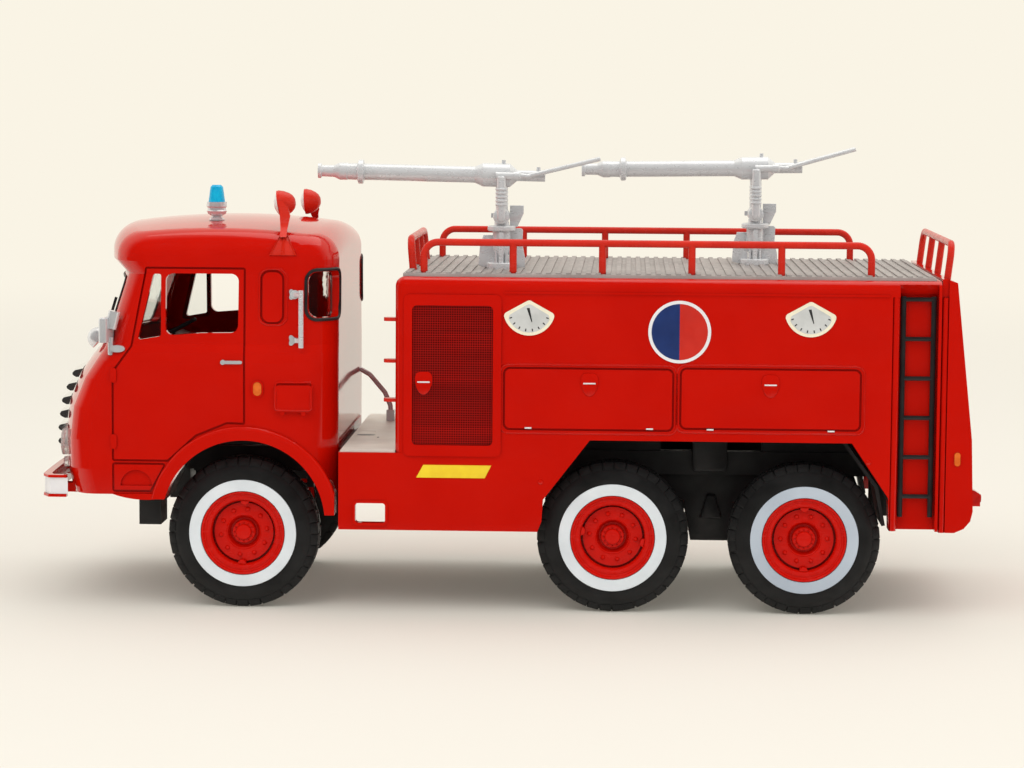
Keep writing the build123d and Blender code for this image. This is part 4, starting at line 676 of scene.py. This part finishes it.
# what lies on the body's sides; bodySide is where the side's flat face lies
bodySide = 29.0
roundelSizes = {"middle": (28.4, 48.6), "ring": 4.75, "base": 29.16, "thick": 0.03}
dialSizes = {"places": ((2.95, 50.65), (50.45, 50.85)), "scale": 0.85, "base": 29.16, "thick": 0.03}
tickSizes = {"count": 8, "radius": 3.35, "half": (0.09, 0.22), "from": -158, "turn": 136, "middleUp": 1.35,
             "pointer": ((-0.42, 1.75), (0.06, 1.8), (0.55, -0.6), (0.42, -0.62)),
             "base": 29.19, "thick": 0.03}
plateSizes = {"outline": ((-16.1, 23.3), (-14.9, 25.5), (-3.3, 25.5), (-4.4, 23.3)), "base": bodySide,
              "thick": 0.12, "soft": 0.03}
markSizes = {"places": ((2.9, 32.0), (23.5, 32.05), (33.75, 32.05), (54.15, 32.0)), "half": (0.58, 0.13),
             "base": bodySide, "thick": 0.1}
boltSizes = {"places": ((5.1, 22.8), (60.55, 26.8)), "outline": (0.45, 0.45, 0.449), "base": 28.9,
             "thick": 0.24, "soft": 0.12}
latchSizes = {"places": ((-14.9, 39.45), (13.25, 39.5), (43.85, 39.55)), "half": (1.5, 1.95),
              "base": bodySide, "thick": 0.22, "soft": 0.12}
barSizes = {"places": [(x, z + 0.2) for x, z in latchSizes["places"]], "half": (1.05, 0.12), "base": 29.19,
            "thick": 0.09}


def plateOf(outline, sizes):
    span = (sizes["base"], sizes["base"] + sizes["thick"])
    return lambda work: addLayer(work, outline, span, sizes.get("soft", 0.0))


def sidePiece(name, outline, finish, sizes):
    builds = [plateOf(moved(outline, x, z), sizes) for x, z in sizes.get("places", ((0, 0),))]
    makePiece(name, builds, finish)


def dialOutline(size):
    right = [(3.4, 1.0), (3.85, 0.72), (4.02, 0.3), (3.95, -0.15)]
    lower = arcPoints(0, 1.7, 4.5, -24, -156, 14)
    left = [(-x, z) for x, z in reversed(right)]
    top = [(-0.45, 2.72), (0.0, 2.85), (0.45, 2.72)]
    return [(x * size, z * size) for x, z in right + lower + left + top]


def latchOutline(halfWide, halfHigh):
    left = [(-0.45, 1), (-0.8, 0.88), (-0.98, 0.6), (-1, 0.25), (-0.92, -0.15), (-0.7, -0.58), (-0.45, -0.85),
            (-0.2, -0.98), (0, -1)]
    return [(x * halfWide, z * halfHigh) for x, z in left + [(-x, z) for x, z in reversed(left[:-1])]]


def dialMarkOutlines(dialX, dialZ):
    outlines = []
    for n in range(tickSizes["count"]):
        angle = math.radians(tickSizes["from"] + tickSizes["turn"] * n / (tickSizes["count"] - 1))
        along = Vector((math.cos(angle), math.sin(angle)))
        across = Vector((-along.y, along.x))
        middle = Vector((dialX, dialZ + tickSizes["middleUp"])) + along * tickSizes["radius"]
        outlines.append([tuple(middle + across * a + along * b) for a, b in rectangle(*tickSizes["half"])])
    return outlines + [moved(tickSizes["pointer"], dialX, dialZ)]


for roundelHalf, printed, halfStart in (("roundelBlue", "printBlue", 90), ("roundelRed", "printRed", -90)):
    halfOutline = arcPoints(*roundelSizes["middle"], roundelSizes["ring"], halfStart, halfStart + 180, 32)
    sidePiece(roundelHalf, halfOutline, printed, roundelSizes)
sidePiece("dialFaces", dialOutline(dialSizes["scale"]), "printGrey", dialSizes)
makePiece("dialMarks", [plateOf(outline, tickSizes) for place in dialSizes["places"]
                        for outline in dialMarkOutlines(*place)], "printAndShadeBlack")
sidePiece("namePlates", plateSizes["outline"], "printYellow", plateSizes)
sidePiece("hingeMarks", rectangle(*markSizes["half"]), "whitePrint", markSizes)
sidePiece("bodyBolts", roundedOutline(*boltSizes["outline"]), "redPaint", boltSizes)
sidePiece("latchShields", latchOutline(*latchSizes["half"]), "redPaint", latchSizes)
sidePiece("latchBars", rectangle(*barSizes["half"]), "whitePrint", barSizes)
print("body plates and marks made")


# A ring between two outlines with as many points, from y = 0 out to -thick.
def addFrame(work, outer, inner, thick):
    rows = [[work.verts.new((x, y, z)) for x, z in line]
            for line, y in ((outer, 0.0), (outer, -thick), (inner, -thick), (inner, 0.0))]
    bridge(work, rows, True, True)


# A round bar along a closed way; outward is the way the surface faces at each point.
def addLoop(work, way, outward, radius, sides=8):
    rings = []
    for n, point in enumerate(way):
        ahead = (way[(n + 1) % len(way)] - way[n - 1]).normalized()
        across = ahead.cross(outward[n]).normalized()
        rings.append([work.verts.new(point + radius * (out * outward[n] + along * across))
                      for out, along in circlePoints(sides, 1.0)])
    bridge(work, rings, True, True)


# An upright strip that follows a way in plan.
def addStrip(work, way, thick, low, high):
    rows = []
    for n, (x, y) in enumerate(way):
        before, after = way[max(n - 1, 0)], way[min(n + 1, len(way) - 1)]
        side = Vector((after[1] - before[1], before[0] - after[0])).normalized() * thick
        rows.append([work.verts.new(p) for p in ((x, y, low), (x, y, high), (x + side.x, y + side.y, high),
                                                 (x + side.x, y + side.y, low))])
    bridge(work, rows)
    closeEnds(work, rows)


# how the cab's walls lie; above the waist the sides and the front lean by so much over the rise
cabSizes = {"rear": -30.1, "corner": 7.0, "half": 28.4, "waist": 45.6, "rise": 11.8, "inset": (0.5, 0.7),
            "nose": (-72.9, 3.6), "side": (-68.6, 3.7), "frontLean": 0.3}


def overWaist(z):
    return (z - cabSizes["waist"]) / cabSizes["rise"]


def cabHalf(z):
    low, more = cabSizes["inset"]
    return cabSizes["half"] - (low + more * min(max(overWaist(z), 0.0), 1.0))


def onRearCorner(angle, z):
    corner = cabSizes["corner"]
    facing = Vector((math.sin(angle), -math.cos(angle), 0))
    return Vector((cabSizes["rear"] - corner, corner - cabHalf(z), z)) + corner * facing, facing


def onFront(y, z):
    nose, side = (low + lean * overWaist(z) for low, lean in (cabSizes["nose"], cabSizes["side"]))
    radius = (cabHalf(z) ** 2 + (side - nose) ** 2) / (2 * (side - nose))
    back = math.sqrt(radius ** 2 - y ** 2)
    facing = Vector((-back, y, radius * cabSizes["frontLean"])).normalized()
    return Vector((nose + radius - back, y, z)), facing


# seals round the quarter windows: grow is how far the seal lies outside the opening
quarterSeal = {"front": -34.8, "side": 20.8, "low": 50.2, "high": 58.0, "round": 1.9, "grow": 0.35,
               "bar": 0.3, "step": 0.6, "off": 0.05}


def quarterLoop(work):
    seal, corner = quarterSeal, cabSizes["corner"]
    low, high = seal["low"] - seal["grow"], seal["high"] + seal["grow"]
    middle, half = (low + high) / 2, cabHalf((low + high) / 2)
    first = corner * math.asin((seal["front"] - seal["grow"] - cabSizes["rear"] + corner) / corner)
    last = corner * math.acos(min(1.0, max(0.0, (seal["side"] - seal["grow"] - half + corner) / corner)))
    outline = roundedOutline((last - first) / 2, (high - low) / 2, seal["round"])
    dense = denseLine(moved(outline, (first + last) / 2, middle), seal["step"])
    way, outward = zip(*(onRearCorner(s / corner, z) for s, z in dense))
    addLoop(work, [place + seal["off"] * facing for place, facing in zip(way, outward)], outward, seal["bar"])


# seals of the windscreen's two panes
screenSeal = {"inner": 1.0, "outer": 22.5, "low": 45.9, "high": 56.5, "round": 1.3, "grow": 0.1, "bar": 0.26,
              "step": 1.2}


def screenLoop(work):
    seal = screenSeal
    halfY = (seal["outer"] - seal["inner"]) / 2 + seal["grow"]
    halfZ = (seal["high"] - seal["low"]) / 2 + seal["grow"]
    outline = moved(roundedOutline(halfY, halfZ, seal["round"]), -(seal["outer"] + seal["inner"]) / 2,
                    (seal["high"] + seal["low"]) / 2)
    way, outward = zip(*(onFront(y, z) for y, z in denseLine(outline, seal["step"])))
    addLoop(work, way, outward, seal["bar"], 6)


makePiece("quarterSeals", [quarterLoop], "blackRubber", 70)
makePiece("screenSeals", [screenLoop], "blackRubber", 70)
bumperPanel = {"way": ((-76.2, -27.36), (-79.25, -27.36), (-80.46, -25.5), (-80.62, -23.6)), "thick": 0.16,
               "low": 19.5, "high": 22.3}
makePiece("bumperPanels", [lambda work: addStrip(work, *bumperPanel.values())], "whitePrint")
markerRing = {"place": (-43.3, 38.1), "outer": (1.05, 1.5, 1.0), "inner": (0.72, 1.17, 0.68), "thick": 0.28,
              "base": 28.4}


def markerShape(work):
    ring, outward = markerRing, Matrix.Translation((0, -markerRing["base"], 0))
    outer, inner = (moved(roundedOutline(*ring[edge]), *ring["place"]) for edge in ("outer", "inner"))
    addMoved(work, outward, addFrame, outer, inner, ring["thick"])


makePiece("markerRings", [markerShape], "redPaint")

# the cab's left side as it was built, to lay trim on
cabTree = BVHTree.FromObject(nodes["cab_shell"], bpy.context.evaluated_depsgraph_get())
cabTurn = nodes["cab_shell"].matrix_world.inverted()


def onCab(x, z):
    start, aim = Vector((x, -2 * bodySide, z)) * mm, Vector((0, 1, 0))
    hit = cabTree.ray_cast(cabTurn @ start, cabTurn.to_3x3() @ aim)[0]
    return (nodes["cab_shell"].matrix_world @ hit).y / mm


# raised edges round the pressed panel behind the door, the locker plate and the body's lids and vent
cabBeads = {"panel": {"middle": (-40.7, 53.75), "half": (2.35, 4.75), "round": 1.5, "bar": 0.17},
            "locker": {"middle": (-37.1, 36.9), "half": (3.05, 2.3), "round": 0.45, "bar": 0.2}}
lidBead = {"round": 1.3, "bar": 0.16}
bodyBeads = {"frontLid": {"middle": (13.1, 37.0), "half": (14.95, 5.85), **lidBead},
             "rearLid": {"middle": (43.85, 37.3), "half": (15.8, 5.75), **lidBead},
             "vent": {"middle": (-10.0, 40.8), "half": (7.2, 12.25), **lidBead}}


def beadShape(bead, step, sideAt):
    def build(work):
        outline = denseLine(moved(roundedOutline(*bead["half"], bead["round"]), *bead["middle"]), step)
        way = [Vector((x, sideAt(x, z), z)) for x, z in outline]
        addLoop(work, way, [Vector((0, -1, 0))] * len(way), bead["bar"])
    return build


for beadName, beads, step, sideAt in (("cabBeads", cabBeads, 0.8, onCab),
                                      ("bodyBeads", bodyBeads, 3.0, lambda x, z: -bodySide)):
    beadBuilds = [beadShape(bead, step, sideAt) for bead in beads.values()]
    makePiece(beadName, beadBuilds, "redPaint", 70)

# grab handles: lobed flanges against the cab
grabFlange = {"places": ((-37.3, 46.4), (-37.3, 54.2)), "radius": 0.78, "lobes": 3, "lobe": 0.22, "points": 24,
              "span": (-0.08, 0.26), "soft": 0.1}


def flangeShape(work):
    for x, z in grabFlange["places"]:
        outline = []
        for n in range(grabFlange["points"]):
            angle = 2 * math.pi * n / grabFlange["points"]
            radius = grabFlange["radius"] + grabFlange["lobe"] * math.cos(grabFlange["lobes"] * angle)
            outline.append((x + radius * math.cos(angle), z + radius * math.sin(angle)))
        span = [out - onCab(x, z) for out in grabFlange["span"]]
        addLayer(work, outline, span, grabFlange["soft"])


makePiece("grabFlanges", [flangeShape], "trimSilver")

# lamps on the roof: turned heads, a strap up each head's side, a ribbed fan on the cab
lampHead = {"outline": ((0, 0.3), (1.98, 0.3), (2.12, 0.0), (2.34, 0.02), (2.36, 0.4), (2.12, 1.25),
                        (1.66, 2.1), (1.2, 2.6), (0.65, 2.9), (0, 2.98)),
            "lens": ((0, -0.8), (0.8, -0.7), (1.5, -0.4), (1.9, -0.1), (2.04, 0.14), (2.04, 0.34), (0, 0.34)),
            "left": ((-40.6, -20.4, 69.25), 9.5), "right": ((-40.62, 20.4, 68.25), 4.0)}
lampStrap = {"rows": ((-39.1, -26.35, 63.9, 1.1), (-39.15, -24.7, 65.2, 1.15), (-39.2, -23.5, 66.2, 1.45),
                      (-39.15, -23.1, 67.4, 1.8), (-39.4, -23.0, 68.8, 1.5), (-40.1, -22.9, 70.0, 0.9)),
             "thick": 0.45, "droopFrom": 65.0, "droopOver": 4}
lampFoot = {"top": (-39.05, 64.2, 1.3), "low": (-39.05, 60.85, 4.6), "rows": 6, "columns": 12, "skin": 0.24,
            "rib": 0.42, "edge": -0.1}


def headShape(kind, side):
    place, tilt = lampHead[side]
    turn = Matrix.Rotation(-math.radians(tilt), 4, "Y") @ Matrix.Rotation(-math.pi / 2, 4, "Z")
    return lambda work: addMoved(work, Matrix.Translation(place) @ turn, addTurned, lampHead[kind], 40, False)


def strapShape(drop=0.0, sides=1):
    def build(work):
        rows, thick = [], lampStrap["thick"]
        for x, y, z, wide in lampStrap["rows"]:
            lift = z - drop * max(0.0, (z - lampStrap["droopFrom"]) / lampStrap["droopOver"])
            rows.append([work.verts.new((x + across * wide / 2, sides * (y - out), lift))
                         for across, out in ((-1, 0), (1, 0), (1, thick), (-1, thick))])
        bridge(work, rows)
        closeEnds(work, rows)
    return build


def footShape(sides=1):
    def build(work):
        (topX, topZ, topWide), (lowX, lowZ, lowWide) = lampFoot["top"], lampFoot["low"]
        columns, rows = lampFoot["columns"], lampFoot["rows"]
        grid = []
        for r in range(-1, rows + 2):
            share = min(max(r, 0), rows) / rows
            middle, wide = topX + (lowX - topX) * share, topWide + (lowWide - topWide) * share
            line = []
            for c in range(-1, columns + 2):
                x, z = middle + wide * (min(max(c, 0), columns) / columns - 0.5), topZ + (lowZ - topZ) * share
                ribbed = c % (columns // 2) == 0
                off = lampFoot["skin"] + (lampFoot["rib"] if ribbed else 0.0)
                if c in (-1, columns + 1) or r in (-1, rows + 1):
                    off = lampFoot["edge"]
                line.append(work.verts.new((x, sides * (onCab(x, z) - off), z)))
            grid.append(line)
        bridge(work, grid, False)
    return build


droop = lampHead["left"][0][2] - lampHead["right"][0][2]
lampHeads, lampLenses = ([headShape(kind, "left"), headShape(kind, "right")] for kind in ("outline", "lens"))
lampArms = [strapShape(), strapShape(droop, -1), footShape(), footShape(-1)]
lampsShown = makePiece("roofLampsShown", lampHeads + lampArms, "railRed", 35, False)
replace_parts(lampsShown, "roof_lamps")
makePiece("roofLampLenses", lampLenses, "lampWhite", 35, False)

# under the tank: its floor, the spacers down to the frame and the casings between the rear wheels
underSizes = {"floor": ((-18.1, 63.7), (30.2, 31.0), (0.0, 27.3)), "spacerY": (11.7, 13.3),
              "spacers": ((-17.8, 25.6), (43.2, 60.2)), "spacerZ": (26.5, 30.2),
              "block": ((31.1, 37.2), (23.1, 30.2), (11.6, 15.2)), "blockSoft": 0.7}
casingSizes = {"outline": ((24.6, 22.5), (24.6, 19.6), (29.6, 17.4), (31.0, 10.4), (37.6, 10.4), (38.8, 17.4),
                           (43.6, 19.6), (43.6, 22.5)), "spanY": (8.4, 11.4), "soft": 0.5,
               "cone": ((32.6, 14.5), (33.75, 18.6), (35.25, 18.6), (36.4, 14.5)), "coneY": (11.2, 12.6),
               "coneSoft": 0.4}


def addBox(work, spanX, spanZ, spanY, soft=0.0):
    outline = moved(roundedOutline((spanX[1] - spanX[0]) / 2, (spanZ[1] - spanZ[0]) / 2, max(soft, 0.05), 3),
                    sum(spanX) / 2, sum(spanZ) / 2)
    addLayer(work, outline, spanY, soft / 2)


def underShape(work):
    addBox(work, *underSizes["floor"])
    for span in underSizes["spacers"]:
        addBox(work, span, underSizes["spacerZ"], underSizes["spacerY"])
    addBox(work, *underSizes["block"], underSizes["blockSoft"])


def casingShape(work):
    addLayer(work, casingSizes["outline"], casingSizes["spanY"], casingSizes["soft"])
    addLayer(work, casingSizes["cone"], casingSizes["coneY"], casingSizes["coneSoft"])


# pale strips along the frame rails' edges: painted highlights where the edges catch the light
railEdgeHighlights = {"spans": ((8.0, 31.0), (37.3, 58.0)), "heights": (26.35, 24.1), "high": 0.1,
             "out": (13.2, 13.36)}


def railHighlightShape(work):
    for span in railEdgeHighlights["spans"]:
        for height in railEdgeHighlights["heights"]:
            addBox(work, span, (height, height + railEdgeHighlights["high"]), railEdgeHighlights["out"])


makePiece("railEdgeHighlights", [railHighlightShape], "steelAndHighlight")
underShown = makePiece("bodyFloorShown", [underShape], "blackPlastic")
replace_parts(underShown, "body_floor")
makePiece("bogieCasings", [casingShape], "blackPlastic")
# black ellipses on the step plate: painted shade for the hollows of its slots
slotShades = {"places": ((-26.7, -6.0, 1.65, 0.9), (-24.3, -9.5, 0.2, 0.5)), "high": 0.03,
            "top": max(corner[2] for corner in nodes["step_plate"].bound_box) / mm}


def slotShadeShape(work):
    for x, y, wide, deep in slotShades["places"]:
        outline = moved(circlePoints(20, wide, deep), x, y)
        rows = [[work.verts.new((px, py, slotShades["top"] + up)) for px, py in outline]
                for up in (0.0, slotShades["high"])]
        work.faces.new(rows[1])
        bridge(work, rows)


makePiece("stepSlotShades", [slotShadeShape], "printAndShadeBlack", 35, False)

# stands of the two water cannons, about a point on the deck; plates hold X and Z
standSizes = {
    "post": ((0, 0), (2.6, 0), (2.6, 0.9), (2.45, 1.1), (0.9, 1.1), (0.9, 2.3), (1.05, 2.5), (1.35, 2.9),
             (1.5, 3.6), (1.55, 6.5), (2.3, 6.6), (2.45, 6.8), (2.45, 7.3), (2.3, 7.5), (1.3, 7.55),
             (1.25, 8.2), (0, 8.2)),
    "boss": ((0, -2.7), (1, -2.7), (1.3, -2.5), (1.42, -2.1), (1.42, 2.1), (1.3, 2.5), (1, 2.7), (0, 2.7)),
    "bossZ": 9.2, "column": 1.05, "columnFrom": 8.0, "columnShort": 1.6,
    "feedY": 2.5, "feed": 0.78, "feedFoot": ((0, 8.2), (0.6, 8.32), (0.94, 8.65), (1, 9.1)),
    "feedTop": ((1, 0.3), (0.8, 0.1), (0, 0.1)), "ringLow": 11.0, "ringPitch": 0.66, "rings": 5,
    "ring": ((0, 0), (0.2, 0.1), (0.26, 0.27), (0.2, 0.44), (0, 0.54)),
    "plates": (((1.4, 11.0), (3.8, 11.0), (3.8, 9.6), (2.7, 7.2), (1.4, 7.3)),
               ((1.2, 7.0), (3.4, 7.0), (3.7, 6.7), (3.6, 4.3), (4.1, 1.7), (4.1, 0.1), (1.2, 0.1)),
               ((-3.2, 5.8), (-1.2, 5.8), (-1.2, 0.1), (-2.8, 0.1), (-4.1, 0.5), (-3.8, 4.1))),
    "plateY": (-1.25, -0.75), "plateSoft": 0.12, "linkX": (-1.9, 1.9), "linkY": (-1.15, -0.85),
    "linkHalf": 0.4, "pinAt": 0.85, "pin": ((0, 1.0), (0.26, 1.0), (0.26, 3.0), (0, 3.0)),
    "web": ((-0.42, 0.42), (0.6, 6.5), (0.9, 2.1)), "webSoft": 0.3,
}
standPlaces = {"front_cannon_stand": (-2.6, -11.0, 74.3), "rear_cannon_stand": (42.4, 8.0, 75.4)}
deckTop = 58.0


def addPost(work, outline, x=0.0, y=0.0, segments=28):
    turn = Matrix.Translation((x, y, 0)) @ Matrix.Rotation(math.pi / 2, 4, "X")
    addMoved(work, turn, addTurned, outline, segments, False)


def standShape(drop):
    def build(work):
        sizes = standSizes
        addPost(work, sizes["post"])
        column, columnLow, columnHigh = sizes["column"], sizes["columnFrom"], drop - sizes["columnShort"]
        addPost(work, ((0, columnLow), (column, columnLow), (column, columnHigh), (0, columnHigh)))
        addMoved(work, Matrix.Translation((0, 0, sizes["bossZ"])), addTurned, sizes["boss"], 32, False)
        radius = sizes["feed"]
        feed = [(radius * share, z) for share, z in sizes["feedFoot"]]
        for n in range(sizes["rings"]):
            ringLow = sizes["ringLow"] + n * sizes["ringPitch"]
            feed += [(radius + out, ringLow + up) for out, up in sizes["ring"]]
        feed += [(radius * share, drop - down) for share, down in sizes["feedTop"]]
        for side in (-1, 1):
            addPost(work, feed, 0.0, side * sizes["feedY"])
        for x, y in rectangle(sizes["pinAt"], sizes["pinAt"]):
            addPost(work, sizes["pin"], x, y, 12)
        for plate in sizes["plates"]:
            addLayer(work, plate, sizes["plateY"], sizes["plateSoft"])
            middle, half = sum(z for _, z in plate) / len(plate), sizes["linkHalf"]
            addBox(work, sizes["linkX"], (middle - half, middle + half), sizes["linkY"])
        addBox(work, *sizes["web"], sizes["webSoft"])
    return build


for standName, (standX, standY, barrelZ) in standPlaces.items():
    standMesh = placed(meshFrom(standName, standShape(barrelZ - deckTop)), standX, standY, deckTop)
    sharpen(standMesh, 35)
    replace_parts(makeObject(standName + "Shown", standMesh, "silver", "truck"), standName)
print("cab trim and stands made")
